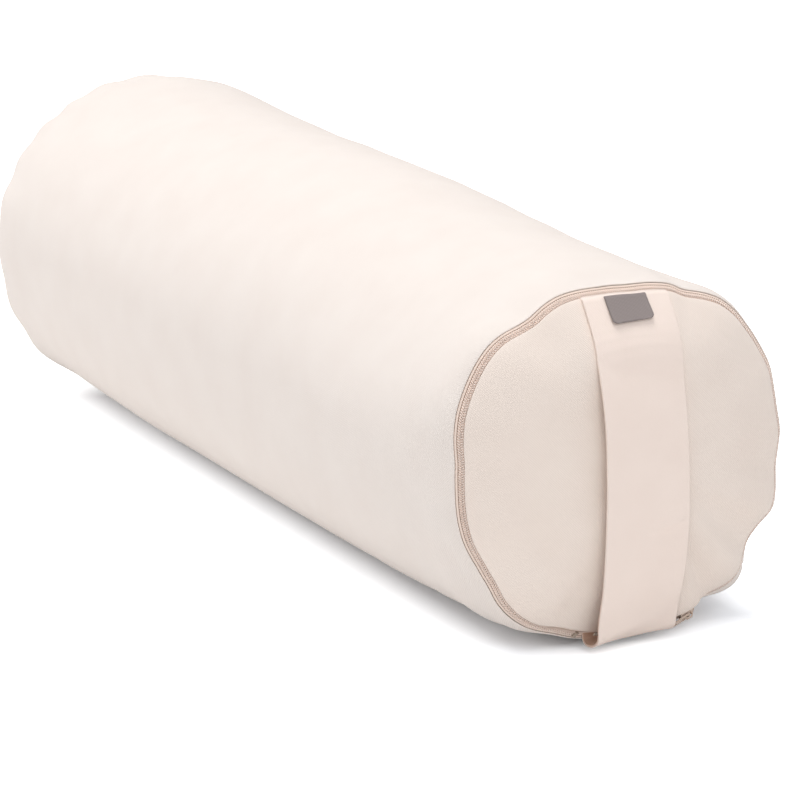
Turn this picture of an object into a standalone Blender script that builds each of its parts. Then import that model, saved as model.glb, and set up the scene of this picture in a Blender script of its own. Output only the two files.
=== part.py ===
"""Round yoga bolster: a filled inner cushion inside a zipped cotton cover with a carry strap.

The bolster lies along X on the floor at Z = 0, with its zipped and strapped end at +X.
Lengths are in metres and angles in degrees. An angle round the bolster is measured from +Y
towards +Z, so -90 is underneath and 90 is on top. At each end, "out" is the distance past the
seam's plane along the end's own axis.
"""
import math

import bmesh
import bpy
from mathutils import Matrix, Vector

# The bolster as it lies on the floor
SEAM_TO_SEAM = 0.6235       # between the two end seams, at the middle of their height
HALF_WIDTH = 0.1030         # of the full girth, halfway along
WIDEST_HEIGHT = 0.1005      # of the widest line above the floor
CROWN_HEIGHT = 0.0955       # from the widest line up to the top
BELLY_SQUARENESS = 2.75     # 2 is an ellipse; more spreads the weight over a wider patch
FLOOR_CUT = 0.0005          # how deep the belly is pressed flat by the floor
TAPER = 0.002               # how much fuller the back end is and how much slimmer the zipped one
WAIST_DEPTH = 0.003         # how much slimmer the middle is than the ends
SHOULDER_LENGTH = 0.034     # over which the girth draws in to the zipped end's seam
SHOULDER_ROUNDING = 3.0     # more keeps the girth full for longer
BACK_SHOULDER_LENGTH = 0.040
BACK_SHOULDER_ROUNDING = 4.2
SEAM_RADIUS = 0.0953
BACK_SEAM_RADIUS = 0.0931
SEAM_AXIS_HEIGHT = 0.0978
END_RISE = 0.022            # of each end panel's crown past its seam
END_ROUNDING = 0.8          # 1 is a parabola; less is fuller towards the rim
FRONT_LEAN = 3.0            # by which the zipped end faces upwards

# Cloth and the puckers that its tight seams draw in
CANVAS = 0.0008
SEAT_GAP = 0.0003           # between pieces that touch
PUCKER_COUNT = 10
PUCKER_DEPTH = 0.0024
PUCKER_REACH = 0.034        # how far from the seam a pucker runs
PUCKER_SWAY = 9.0           # by how many degrees the puckers are spaced unevenly

# The cover's zip, which runs round the front seam on a slope of its own
BAND_TILT = 45.0            # of the zip's face from the end panel towards the side
HALF_BAND = 0.0042          # from the middle of the zip to the cloth on either side
TAPE_THICKNESS = 0.0006
TAPE_INSET = 0.0006         # of the tape's edges from the cloth's
COIL_GAP = 0.0010           # between the two rows of coil
COIL_WIDTH = 0.0015
COIL_HEIGHT = 0.0013
CLOSED_ANGLE = -67.0        # where the slider stands when the cover is shut
SLIDER_TRAVEL = 315.0
END_TAB_SPAN = 24.0         # of the cloth tab that covers both tape ends, underneath
TAPE_END_SPAN = 16.0        # of the gap between the two tape ends, under that tab
STOP_LENGTH = 0.0018

# Slider and pull, of a small size of coil zip
SLIDER_LENGTH = 0.0086
SLIDER_HALF_WIDTH = 0.0033
PLATE_THICKNESS = 0.0008
SLIDER_CLEARANCE = 0.00035  # over and beside the coil
WEDGE_WIDTH = 0.0004
WEDGE_LENGTH = 0.0018
BRIDGE_LENGTH = 0.0052
BRIDGE_WIDTH = 0.0018
BRIDGE_THICKNESS = 0.0006
PULL_THICKNESS = 0.0009
PULL_WIDTH = 0.0045
PULL_LENGTH = 0.0115        # from its hinge line to its tip
PULL_ARM = 0.0009           # beside the window that takes the bridge
PULL_HOLE = 0.0010          # radius of the hole near the tip
PULL_SWING_ROOM = 0.0003

# Carry strap, sewn in across the end panel and left slack
STRAP_WIDTH = 0.050
STRAP_THICKNESS = 0.0016
STRAP_SLACK = 0.0080        # clear of the end panel from the middle down
STRAP_LIFT_START = 0.075    # above the middle, where the strap begins to leave the panel
STRAP_LIFT_RUN = 0.070      # over which it takes up its slack
STRAP_LEAVES = 0.076        # below the middle, where it turns down to the floor
STRAP_ROOT_INSET = 0.0006   # of its sewn ends from the panel's rim
FOOT_REACH = 0.0100         # from the sewn end forward to the loop's front
FOOT_CLEARANCE = 0.0002     # of the loop above the floor

# Blank side label, sewn in over the strap
LABEL_WIDTH = 0.024
LABEL_LENGTH = 0.0155
LABEL_THICKNESS = 0.0007
LABEL_OFFSET = -0.001       # of its middle along Y
LABEL_DROP = 0.003          # of its sewn edge below the strap's
LABEL_LIFT = 0.0010         # of its free edge
LABEL_CORNER = 0.0018

# Inner cushion
LINER_CLOTH = 0.0005
LINER_GAP = 0.0013          # between the cover and the inner cushion
LINER_END_INSET = 0.014     # of its end seams from the cover's
LINER_RIM_INSET = 0.0095    # of its end seams' radius from the cover's
LINER_FACE_OUT = 0.0100     # of its flat front face past the cover's seam plane
LINER_FACE_RADIUS = 0.060
LINER_SLIT_MARGIN = 0.0004  # beside the slider's lower plate
FILLING_GAP = 0.0006
FILLING_FACE_GAP = 0.0016   # behind the zip, where the slider's lower plate runs

# The inner cushion's straight zip
LINER_CHAIN_LENGTH = 0.080
LINER_TAPE_END = 0.008      # of tape past the coil at each end
LINER_TAPE_WIDTH = 0.010

# Mesh fineness
COVER_SEGMENTS = 56
LINER_SEGMENTS = 36
STRAP_ROWS = 20
RING_STEP = 5.0

UNDERNEATH = -90.0


class Rim:
    """A round seam at one end: its distance past the cover's seam plane and its radius."""

    def __init__(self, out, radius):
        self.out = out
        self.radius = radius


def ring_angles(segments):
    """Angles with a facet, not a corner, square to the floor underneath."""
    step = 360.0 / segments
    return [math.radians(UNDERNEATH + step * (index + 0.5)) for index in range(segments)]


def shoulder(side):
    """Length and rounding of the shoulder at an end."""
    if side > 0:
        return SHOULDER_LENGTH, SHOULDER_ROUNDING
    return BACK_SHOULDER_LENGTH, BACK_SHOULDER_ROUNDING


def straight_end(side, inset=0.0):
    """Place along X where the full girth ends, for a bag that is shorter by its inset."""
    length, _ = shoulder(side)
    return side * (SEAM_TO_SEAM / 2 - length - inset)


def section(angle, x, depth):
    """Point (y, z) of the full girth, at a depth below the cover's outer face."""
    along = x / abs(straight_end(math.copysign(1, x)))
    waist = WAIST_DEPTH * math.cos(math.pi / 2 * min(1.0, abs(along))) ** 2 + TAPER * along
    across = math.cos(angle)
    upward = math.sin(angle)
    half_width = HALF_WIDTH - waist - depth
    if upward >= 0:
        power = 2.0
        half_height = CROWN_HEIGHT - waist - depth
    else:
        power = BELLY_SQUARENESS
        half_height = WIDEST_HEIGHT + FLOOR_CUT - depth
    spread = abs(across / half_width) ** power + abs(upward / half_height) ** power
    reach = spread ** (-1.0 / power)
    return reach * across, max(depth, WIDEST_HEIGHT + reach * upward)


def end_point(side, out, radius, angle):
    """Point of a circle round an end's axis. Side is 1 at the zipped end and -1 at the other."""
    lean = math.radians(FRONT_LEAN) if side > 0 else 0.0
    up = radius * math.sin(angle)
    x = SEAM_TO_SEAM / 2 + out * math.cos(lean) - up * math.sin(lean)
    z = SEAM_AXIS_HEIGHT + up * math.cos(lean) + out * math.sin(lean)
    return Vector((side * x, radius * math.cos(angle), z))


def pucker(angle, distance):
    """Depth of the puckers at an angle and a distance from the seam."""
    if distance <= 0 or distance >= PUCKER_REACH:
        return 0.0
    turned = angle + math.radians(PUCKER_SWAY) * math.sin(2 * angle + 1)
    fold = 0.5 - 0.5 * math.cos(PUCKER_COUNT * turned)
    share = distance / PUCKER_REACH
    return PUCKER_DEPTH * fold * math.sin(math.pi * share ** 0.8) ** 2


def tube_row(x, segments, depth):
    row = []
    for angle in ring_angles(segments):
        y, z = section(angle, x, depth)
        row.append(Vector((x, y, z)))
    return row


def shoulder_row(side, share, segments, depth, rim, puckered):
    """Row a share of the way from the full girth to an end's rim."""
    length, rounding = shoulder(side)
    pull = share ** rounding
    start = straight_end(side, max(0.0, -rim.out))
    row = []
    for angle in ring_angles(segments):
        y, z = section(angle, start, depth)
        edge = end_point(side, rim.out, rim.radius, angle)
        x = start + (edge.x - start) * share
        point = Vector((x, y + (edge.y - y) * pull, z + (edge.z - z) * pull))
        if puckered:
            fold = pucker(angle, length * (1.0 - share))
            point -= fold * Vector((0, math.cos(angle), math.sin(angle)))
            point.z = max(depth, point.z)
        row.append(point)
    return row


def dome_out(rim, crown_out, radius):
    """Height of an end panel's crown at a radius from its axis."""
    share = min(1.0, radius / rim.radius)
    return rim.out + (crown_out - rim.out) * (1.0 - share ** 2) ** END_ROUNDING


def dome_rows(side, rim, crown_out, segments, shares, puckered):
    """Rows of an end panel from its rim inwards, and its middle point."""
    rows = []
    for share in shares:
        radius = share * rim.radius
        row = []
        for angle in ring_angles(segments):
            out = dome_out(rim, crown_out, radius)
            if puckered:
                out -= pucker(angle, rim.radius - radius)
            row.append(end_point(side, out, radius, angle))
        rows.append(row)
    return rows, end_point(side, crown_out, 0.0, 0.0)


def flat_face_rows(rim, face_out, face_radius, segments):
    """Rows of a front panel that is pressed flat in the middle, and its middle point."""
    rows = []
    for turn in (0.0, 30.0, 60.0, 90.0):
        inward = 1.0 - math.cos(math.radians(turn))
        outward = math.sin(math.radians(turn))
        radius = rim.radius + (face_radius - rim.radius) * inward
        out = rim.out + (face_out - rim.out) * outward
        rows.append([end_point(1, out, radius, angle) for angle in ring_angles(segments)])
    return rows, end_point(1, face_out, 0.0, 0.0)


def new_material(name, colour, roughness, metallic):
    material = bpy.data.materials.new(name)
    material.use_nodes = True
    shader = material.node_tree.nodes["Principled BSDF"]
    shader.inputs["Base Color"].default_value = (*colour, 1.0)
    shader.inputs["Roughness"].default_value = roughness
    shader.inputs["Metallic"].default_value = metallic
    return material


def add_object(name, mesh, parent):
    """Object with its own material slot, placed in its parent's frame."""
    piece = bpy.data.objects.new(name, mesh)
    bpy.context.scene.collection.objects.link(piece)
    piece.parent = parent
    return piece


def add_empty(name, parent, matrix=None):
    empty = bpy.data.objects.new(name, None)
    empty.empty_display_size = 0.02
    bpy.context.scene.collection.objects.link(empty)
    empty.parent = parent
    if matrix is not None:
        empty.matrix_basis = matrix
    return empty


def finish(piece, colour, roughness, metallic=0.0):
    """Gives a piece its colour and smooth shading with crisp edges."""
    piece.data.materials.clear()
    piece.data.materials.append(new_material(piece.name, colour, roughness, metallic))
    piece.data.shade_smooth()
    piece.data.set_sharp_from_angle(angle=math.radians(40))
    return piece


def sheet_mesh(name, rows, first_middle=None, last_middle=None):
    """Mesh through closed rows that run towards +X, with a fan where an end closes."""
    mesh = bmesh.new()
    rings = [[mesh.verts.new(point) for point in row] for row in rows]
    count = len(rows[0])
    for near, far in zip(rings, rings[1:]):
        for index in range(count):
            after = (index + 1) % count
            mesh.faces.new((near[index], near[after], far[after], far[index]))
    if first_middle is not None:
        middle = mesh.verts.new(first_middle)
        for index in range(count):
            mesh.faces.new((middle, rings[0][(index + 1) % count], rings[0][index]))
    if last_middle is not None:
        middle = mesh.verts.new(last_middle)
        for index in range(count):
            mesh.faces.new((middle, rings[-1][index], rings[-1][(index + 1) % count]))
    data = bpy.data.meshes.new(name)
    mesh.to_mesh(data)
    mesh.free()
    return data


def thicken(piece, thickness, offset=-1.0):
    """Turns an open sheet into cloth; the sheet stays its outer face at offset -1."""
    wall = piece.modifiers.new("cloth", "SOLIDIFY")
    wall.thickness = thickness
    wall.offset = offset
    wall.use_even_offset = True
    return piece


def sweep_mesh(name, sections):
    """Closed solid through sections of as many points each, with flat ends."""
    mesh = bmesh.new()
    rings = [[mesh.verts.new(point) for point in row] for row in sections]
    count = len(sections[0])
    for near, far in zip(rings, rings[1:]):
        for index in range(count):
            after = (index + 1) % count
            mesh.faces.new((near[index], near[after], far[after], far[index]))
    mesh.faces.new(rings[0][::-1])
    mesh.faces.new(rings[-1])
    bmesh.ops.recalc_face_normals(mesh, faces=mesh.faces)
    data = bpy.data.meshes.new(name)
    mesh.to_mesh(data)
    mesh.free()
    return data


def box_mesh(name, low, high):
    corners = [(low[0], y, z) for y, z in ((low[1], low[2]), (high[1], low[2]),
                                           (high[1], high[2]), (low[1], high[2]))]
    far = [(high[0], y, z) for _, y, z in corners]
    return sweep_mesh(name, [corners, far])


def settle(piece):
    """Applies a piece's modifiers to its mesh and deletes the objects that they used."""
    helpers = [step.object for step in piece.modifiers if step.type == "BOOLEAN"]
    bpy.context.view_layer.update()
    shaped = piece.evaluated_get(bpy.context.evaluated_depsgraph_get())
    mesh = bpy.data.meshes.new_from_object(shaped)
    piece.modifiers.clear()
    piece.data = mesh
    for helper in helpers:
        bpy.data.objects.remove(helper)
    return piece


def combine(piece, helper, operation):
    helper.hide_render = True
    helper.display_type = "WIRE"
    step = piece.modifiers.new(operation.lower(), "BOOLEAN")
    step.operation = operation
    step.solver = "EXACT"
    step.object = helper


def build_cover(root):
    """The outer cover's three cloth panels."""
    front_edge = Rim(*band_place(-HALF_BAND, cloth_height()))
    back_edge = Rim(0.0, BACK_SEAM_RADIUS)
    shares = (0.4, 0.68, 0.88, 1.0)
    rows = [shoulder_row(-1, share, COVER_SEGMENTS, 0.0, back_edge, True)
            for share in reversed(shares)]
    rows += [tube_row(x, COVER_SEGMENTS, 0.0) for x in (straight_end(-1), 0.0, straight_end(1))]
    rows += [shoulder_row(1, share, COVER_SEGMENTS, 0.0, front_edge, True)
             for share in shares]
    side = add_object("cover_side_panel", sheet_mesh("cover_side_panel", rows), root)
    finish(thicken(side, CANVAS), (0.92, 0.83, 0.74), 0.9)

    shares = (1.0, 0.965, 0.9, 0.8, 0.6, 0.3)
    rim = front_panel_rim()
    rows, middle = dome_rows(1, rim, END_RISE, COVER_SEGMENTS, shares, True)
    front = add_object("cover_front_panel",
                       sheet_mesh("cover_front_panel", rows, last_middle=middle), root)
    finish(thicken(front, CANVAS), (0.78, 0.69, 0.61), 0.9)

    rim = Rim(CANVAS + SEAT_GAP, BACK_SEAM_RADIUS - SEAT_GAP)
    rows, middle = dome_rows(-1, rim, END_RISE, COVER_SEGMENTS, shares, True)
    back = add_object("cover_back_panel",
                      sheet_mesh("cover_back_panel", rows[::-1], first_middle=middle), root)
    finish(thicken(back, CANVAS), (0.90, 0.81, 0.72), 0.9)


def cloth_height():
    """Height of a cloth panel's outer face above the middle of the zip's tape."""
    return TAPE_THICKNESS / 2 + SEAT_GAP + CANVAS


def band_place(across, height):
    """Distance out and radius of a point of the zip, from its middle line.

    Across runs from the side panel to the end panel, and height stands off the tape.
    """
    tilt = math.radians(BAND_TILT)
    out = HALF_BAND * math.cos(tilt) + across * math.cos(tilt) + height * math.sin(tilt)
    inward = HALF_BAND * math.sin(tilt) + across * math.sin(tilt)
    return out, SEAM_RADIUS - inward + height * math.cos(tilt)


def front_panel_rim():
    return Rim(*band_place(HALF_BAND, cloth_height()))


def ring_piece(name, outline, start, end, parent):
    """Solid that carries an outline (across, height) round the front seam."""
    steps = math.ceil((end - start) / RING_STEP)
    sections = []
    for step in range(steps + 1):
        angle = math.radians(start + (end - start) * step / steps)
        row = []
        for across, height in outline:
            out, radius = band_place(across, height)
            row.append((out, radius * math.cos(angle), radius * math.sin(angle)))
        sections.append(row)
    return add_object(name, sweep_mesh(name, sections), parent)


def tape_outline(side, reach):
    """Section of one tape: side is -1 or 1, and reach is its far edge from the middle."""
    near = side * COIL_GAP / 2
    far = side * reach
    half = TAPE_THICKNESS / 2
    return [(near, -half), (far, -half), (far, half), (near, half)]


def coil_outline(side):
    """Rounded section of one row of coil, seated on its tape."""
    foot = TAPE_THICKNESS / 2 + SEAT_GAP
    middle = side * (COIL_GAP + COIL_WIDTH) / 2
    outline = []
    for corner in range(6):
        turn = math.radians(60.0 * corner)
        outline.append((middle + COIL_WIDTH / 2 * math.cos(turn),
                        foot + COIL_HEIGHT / 2 * (1.0 + math.sin(turn) / math.sin(math.pi / 3))))
    return outline


def stop_outline(side):
    foot = TAPE_THICKNESS / 2 + SEAT_GAP
    near = side * COIL_GAP / 2
    far = side * (COIL_GAP / 2 + COIL_WIDTH)
    top = foot + COIL_HEIGHT
    return [(near, foot), (far, foot), (far, top), (near, top)]


def angle_of(length):
    """Angle that a length takes up along the zip."""
    return math.degrees(length / band_place(0.0, 0.0)[1])


def build_zip(front_end):
    """Tapes, coils, stops and end tab of the cover's zip."""
    cloth = (0.80, 0.68, 0.58)
    first = CLOSED_ANGLE - angle_of(SLIDER_LENGTH / 2 + SEAT_GAP)
    last = CLOSED_ANGLE + SLIDER_TRAVEL + angle_of(SLIDER_LENGTH / 2 + SEAT_GAP)
    tape_start = UNDERNEATH + TAPE_END_SPAN / 2
    tape_end = UNDERNEATH + 360.0 - TAPE_END_SPAN / 2
    for name, side in (("outer", -1), ("inner", 1)):
        tape = ring_piece("zip_tape_" + name, tape_outline(side, HALF_BAND - TAPE_INSET),
                          tape_start, tape_end, front_end)
        finish(tape, cloth, 0.85)
        coil = ring_piece("zip_coil_" + name, coil_outline(side), first, last, front_end)
        finish(coil, (0.82, 0.70, 0.62), 0.45)
    gap = angle_of(SEAT_GAP)
    length = angle_of(STOP_LENGTH)
    for name, side in (("outer", -1), ("inner", 1)):
        stop = ring_piece("zip_top_stop_" + name, stop_outline(side),
                          first - gap - length, first - gap, front_end)
        finish(stop, (0.70, 0.66, 0.60), 0.35, 1.0)
    foot = TAPE_THICKNESS / 2 + SEAT_GAP
    half = COIL_GAP / 2 + COIL_WIDTH
    outline = [(-half, foot), (half, foot), (half, foot + COIL_HEIGHT), (-half, foot + COIL_HEIGHT)]
    bottom = ring_piece("zip_bottom_stop", outline, last + gap, last + gap + length, front_end)
    finish(bottom, (0.70, 0.66, 0.60), 0.35, 1.0)
    half = HALF_BAND - CANVAS - SEAT_GAP
    outline = [(-half, foot), (half, foot), (half, foot + CANVAS), (-half, foot + CANVAS)]
    tab = ring_piece("zip_end_tab", outline, UNDERNEATH - END_TAB_SPAN / 2,
                     UNDERNEATH + END_TAB_SPAN / 2, front_end)
    finish(tab, (0.86, 0.76, 0.67), 0.9)


def slider_levels():
    """Heights of the slider's plates above the middle of the tape."""
    coil_top = TAPE_THICKNESS / 2 + SEAT_GAP + COIL_HEIGHT
    upper = coil_top + SLIDER_CLEARANCE
    lower = -TAPE_THICKNESS / 2 - SLIDER_CLEARANCE
    return upper, lower


def hinge_height():
    """Height of the pull's hinge line above the middle of the tape."""
    upper, _ = slider_levels()
    corner = PULL_THICKNESS / 2 * math.sqrt(2.0)
    return upper + PLATE_THICKNESS + PULL_SWING_ROOM + corner


def build_slider(name, parent):
    """Zip slider: X is its way of travel, Y runs across the zip and Z stands off it."""
    upper, lower = slider_levels()
    half = SLIDER_LENGTH / 2
    inner = COIL_GAP / 2 + COIL_WIDTH + SLIDER_CLEARANCE
    wide = SLIDER_HALF_WIDTH
    top = upper + PLATE_THICKNESS
    flange = TAPE_THICKNESS / 2 + SLIDER_CLEARANCE
    plan = ((-half, 0.80), (-0.7 * half, 0.93), (0.2 * half, 1.0), (0.8 * half, 1.0), (half, 0.86))
    sections = []
    for x, share in plan:
        edge = max(inner + 0.0004, wide * share)
        sections.append([(x, -edge, flange), (x, -inner, flange), (x, -inner, upper),
                         (x, inner, upper), (x, inner, flange), (x, edge, flange),
                         (x, edge, upper), (x, edge - 0.0004, top), (x, 0.0004 - edge, top),
                         (x, -edge, upper)])
    slider = add_object(name, sweep_mesh(name, sections), parent)
    sections = []
    for x, share in plan:
        edge = (wide - 0.0003) * share
        sections.append([(x, -edge, lower), (x, 0.0004 - edge, lower - PLATE_THICKNESS),
                         (x, edge - 0.0004, lower - PLATE_THICKNESS), (x, edge, lower)])
    combine(slider, add_object("lower_plate", sweep_mesh("lower_plate", sections), parent), "UNION")
    sink = PLATE_THICKNESS / 2
    wedge = box_mesh("wedge", (-WEDGE_LENGTH / 2, -WEDGE_WIDTH / 2, lower - sink),
                     (WEDGE_LENGTH / 2, WEDGE_WIDTH / 2, upper + sink))
    combine(slider, add_object("wedge", wedge, parent), "UNION")
    combine(slider, add_object("bridge", bridge_mesh(top, sink), parent), "UNION")
    return finish(settle(slider), (0.80, 0.70, 0.62), 0.4)


def bridge_mesh(top, sink):
    """Arch on the slider's upper plate that the pull's bar turns under."""
    room = 2 * (hinge_height() - top)
    outer = BRIDGE_LENGTH / 2
    inner = outer - BRIDGE_THICKNESS
    crown = top + room + BRIDGE_THICKNESS
    shape = [(-outer, top - sink), (-inner, top - sink), (-inner, top + room * 0.6),
             (-inner * 0.6, top + room), (inner * 0.6, top + room), (inner, top + room * 0.6),
             (inner, top - sink), (outer, top - sink), (outer, top + room * 0.7),
             (inner * 0.75, crown), (-inner * 0.75, crown), (-outer, top + room * 0.7)]
    sections = [[(x, side * BRIDGE_WIDTH / 2, z) for x, z in shape] for side in (-1, 1)]
    return sweep_mesh("bridge", sections)


def build_pull(name, parent):
    """Pull tab on its hinge line at the origin: X points from the hinge to the tip."""
    half = PULL_WIDTH / 2
    thick = PULL_THICKNESS / 2
    outline = [(-thick, -half), (PULL_LENGTH * 0.45, -half), (PULL_LENGTH * 0.6, -half * 0.8)]
    for turn in range(-60, 61, 30):
        angle = math.radians(turn)
        outline.append((PULL_LENGTH - half + half * math.cos(angle), half * math.sin(angle)))
    outline += [(PULL_LENGTH * 0.6, half * 0.8), (PULL_LENGTH * 0.45, half), (-thick, half)]
    sections = [[(x, y, side * thick) for x, y in outline] for side in (-1, 1)]
    pull = add_object(name, sweep_mesh(name, sections), parent)
    opening = half - PULL_ARM
    window_end = BRIDGE_LENGTH / 2 + 4 * PULL_SWING_ROOM + PULL_THICKNESS / 2
    window = box_mesh("window", (thick, -opening, -2 * thick), (window_end, opening, 2 * thick))
    combine(pull, add_object("window", window, parent), "DIFFERENCE")
    hole = []
    for side in (-1, 1):
        hole.append([(PULL_LENGTH - half + PULL_HOLE * math.cos(math.radians(turn)),
                      PULL_HOLE * math.sin(math.radians(turn)), 2 * side * thick)
                     for turn in range(0, 360, 30)])
    combine(pull, add_object("hole", sweep_mesh("hole", hole), parent), "DIFFERENCE")
    return finish(settle(pull), (0.80, 0.70, 0.62), 0.4)


def band_frame():
    """Frame of the zip at angle 0: X along the zip, Y across it and Z off its face."""
    tilt = math.radians(BAND_TILT)
    out, radius = band_place(0.0, 0.0)
    along = Vector((0, 0, 1))
    across = Vector((math.cos(tilt), -math.sin(tilt), 0))
    height = Vector((math.sin(tilt), math.cos(tilt), 0))
    turned = Matrix((along, across, height)).transposed().to_4x4()
    return Matrix.Translation((out, radius, 0)) @ turned


def hang_pull(name, slider):
    """Puts a pull on a slider's bridge, folded back against the slider's way of travel."""
    folded = Matrix.Translation((0, 0, hinge_height())) @ Matrix.Rotation(math.pi, 4, "Z")
    build_pull(name, add_empty(name + "_hinge", slider, folded))


def build_cover_slider(front_end):
    """The cover's slider on the seam's axis, with its pull folded towards the strap."""
    turn = Matrix.Rotation(math.radians(CLOSED_ANGLE), 4, "X")
    axis = add_empty("slider_axis", front_end, turn)
    slider = build_slider("zip_slider", axis)
    slider.matrix_basis = band_frame()
    hang_pull("zip_pull", slider)


def strap_root_radius():
    return front_panel_rim().radius - STRAP_ROOT_INSET


def strap_rows():
    """Rows (out, up, spread) of the strap's middle surface, from its upper end to its lower.

    Out and up are in the front end's frame. Spread says how far the row bends with the rim:
    1 follows the rim's circle and 0 is straight across.
    """
    rim = front_panel_rim()
    root = strap_root_radius()
    lift = SEAT_GAP + STRAP_THICKNESS / 2
    rows = []
    for step in range(STRAP_ROWS + 1):
        share = step / STRAP_ROWS
        up = root + (-STRAP_LEAVES - root) * share
        rise = min(1.0, max(0.0, (STRAP_LIFT_START - up) / STRAP_LIFT_RUN))
        slack = STRAP_SLACK * rise * rise * (3 - 2 * rise)
        spread = max(0.0, 1.0 - share * 4)
        rows.append((up, slack + lift, spread, rim))
    return rows


def front_to_world(out, across, up):
    """World point of a place in the front end's frame."""
    radius = math.hypot(across, up)
    return end_point(1, out, radius, math.atan2(up, across))


def strap_point(row, across, above=0.0):
    """World point of a row on the dome, at a distance across the strap and above it."""
    up, height, spread, rim = row
    level = math.sqrt(max(up * up - (spread * across) ** 2, 0.0)) * (1 if up > 0 else -1)
    radius = math.hypot(level, spread * across)
    step = 0.002
    out = dome_out(rim, END_RISE, radius)
    inner = dome_out(rim, END_RISE, max(0.0, radius - step))
    slope = math.atan2(inner - out, step)
    lift = height + above
    sign = 1 if level >= 0 else -1
    return front_to_world(out + lift * math.cos(slope), across,
                          level + sign * lift * math.sin(slope))


def build_strap(root):
    """Webbing strap: over the dome, down to a small loop on the floor, and up into the seam."""
    columns = [STRAP_WIDTH * (index / 4 - 0.5) for index in range(5)]
    dome = strap_rows()
    grid = [[strap_point(row, across) for across in columns] for row in dome]
    radius = strap_root_radius()
    out = front_panel_rim().out + SEAT_GAP + STRAP_THICKNESS
    ends = [front_to_world(out, across, -math.sqrt(radius ** 2 - across ** 2))
            for across in columns]
    back = max(point.x for point in ends)
    centre = min(point.z for point in ends)
    drop = centre - FOOT_CLEARANCE - STRAP_THICKNESS / 2
    for turn in range(0, 151, 30):
        angle = math.radians(turn)
        x = back + FOOT_REACH / 2 * (1.0 + math.cos(angle))
        z = centre - drop * math.sin(angle)
        grid.append([Vector((x, across, z)) for across in columns])
    grid.append(ends)
    mesh = bmesh.new()
    verts = [[mesh.verts.new(point) for point in row] for row in grid]
    for near, far in zip(verts, verts[1:]):
        for index in range(len(columns) - 1):
            mesh.faces.new((near[index], far[index], far[index + 1], near[index + 1]))
    data = bpy.data.meshes.new("carry_strap")
    mesh.to_mesh(data)
    mesh.free()
    strap = add_object("carry_strap", data, root)
    finish(thicken(strap, STRAP_THICKNESS, 0.0), (0.86, 0.74, 0.65), 0.9)


def build_label(root):
    """Blank woven label on a hinge line along its sewn edge."""
    first, second = strap_rows()[:2]
    above = STRAP_THICKNESS / 2 + SEAT_GAP + LABEL_THICKNESS / 2
    sewn = strap_point(first, 0.0, above)
    tangent = (strap_point(second, 0.0, above) - sewn).normalized()
    hinge = sewn + LABEL_DROP * tangent
    lifted = LABEL_LIFT / LABEL_LENGTH
    normal = Vector((-tangent.z, 0, tangent.x))
    run = (tangent + lifted * normal).normalized()
    axis = add_empty("label_hinge", root, Matrix.Translation(hinge))
    left = LABEL_OFFSET - LABEL_WIDTH / 2
    right = LABEL_OFFSET + LABEL_WIDTH / 2
    sides = [(left, 0.0), (left, LABEL_LENGTH - LABEL_CORNER),
             (left + LABEL_CORNER * 0.3, LABEL_LENGTH - LABEL_CORNER * 0.3),
             (left + LABEL_CORNER, LABEL_LENGTH), (right - LABEL_CORNER, LABEL_LENGTH),
             (right - LABEL_CORNER * 0.3, LABEL_LENGTH - LABEL_CORNER * 0.3),
             (right, LABEL_LENGTH - LABEL_CORNER), (right, 0.0)]
    face = Vector((-run.z, 0, run.x))
    sections = [[Vector((0, y, 0)) + run * along + face * (height * LABEL_THICKNESS / 2)
                 for y, along in sides] for height in (-1, 1)]
    label = add_object("side_label", sweep_mesh("side_label", sections), axis)
    finish(label, (0.30, 0.25, 0.23), 0.85)


def build_liner(root):
    """The inner cushion's three cloth panels; the front one has the slit for its zip."""
    depth = CANVAS + LINER_GAP
    rim = Rim(-LINER_END_INSET, SEAM_RADIUS - LINER_RIM_INSET)
    ends = (straight_end(-1, LINER_END_INSET), straight_end(1, LINER_END_INSET))
    shares = (0.5, 0.85, 1.0)
    rows = [shoulder_row(-1, share, LINER_SEGMENTS, depth, rim, False)
            for share in reversed(shares)]
    rows += [tube_row(x, LINER_SEGMENTS, depth) for x in (ends[0], 0.0, ends[1])]
    rows += [shoulder_row(1, share, LINER_SEGMENTS, depth, rim, False) for share in shares]
    side = add_object("liner_side_panel", sheet_mesh("liner_side_panel", rows), root)
    finish(thicken(side, LINER_CLOTH), (0.80, 0.78, 0.74), 0.9)

    rim = Rim(LINER_CLOTH + SEAT_GAP - LINER_END_INSET, rim.radius - SEAT_GAP)
    rows, middle = flat_face_rows(rim, LINER_FACE_OUT, LINER_FACE_RADIUS, LINER_SEGMENTS)
    front = add_object("liner_front_panel",
                       sheet_mesh("liner_front_panel", rows, last_middle=middle), root)
    thicken(front, LINER_CLOTH)
    half_slit = SLIDER_HALF_WIDTH + LINER_SLIT_MARGIN
    half_run = LINER_CHAIN_LENGTH / 2
    slit = box_mesh("slit", (-half_run, -half_slit, -0.01), (half_run, half_slit, 0.01))
    cutter = add_object("slit", slit, root)
    cutter.matrix_basis = liner_zip_matrix()
    combine(front, cutter, "DIFFERENCE")
    finish(settle(front), (0.80, 0.78, 0.74), 0.9)

    crown = END_RISE - CANVAS - LINER_GAP
    shares = (1.0, 0.93, 0.78, 0.5)
    rows, middle = dome_rows(-1, rim, crown, LINER_SEGMENTS, shares, False)
    back = add_object("liner_back_panel",
                      sheet_mesh("liner_back_panel", rows[::-1], first_middle=middle), root)
    finish(thicken(back, LINER_CLOTH), (0.80, 0.78, 0.74), 0.9)


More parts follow.
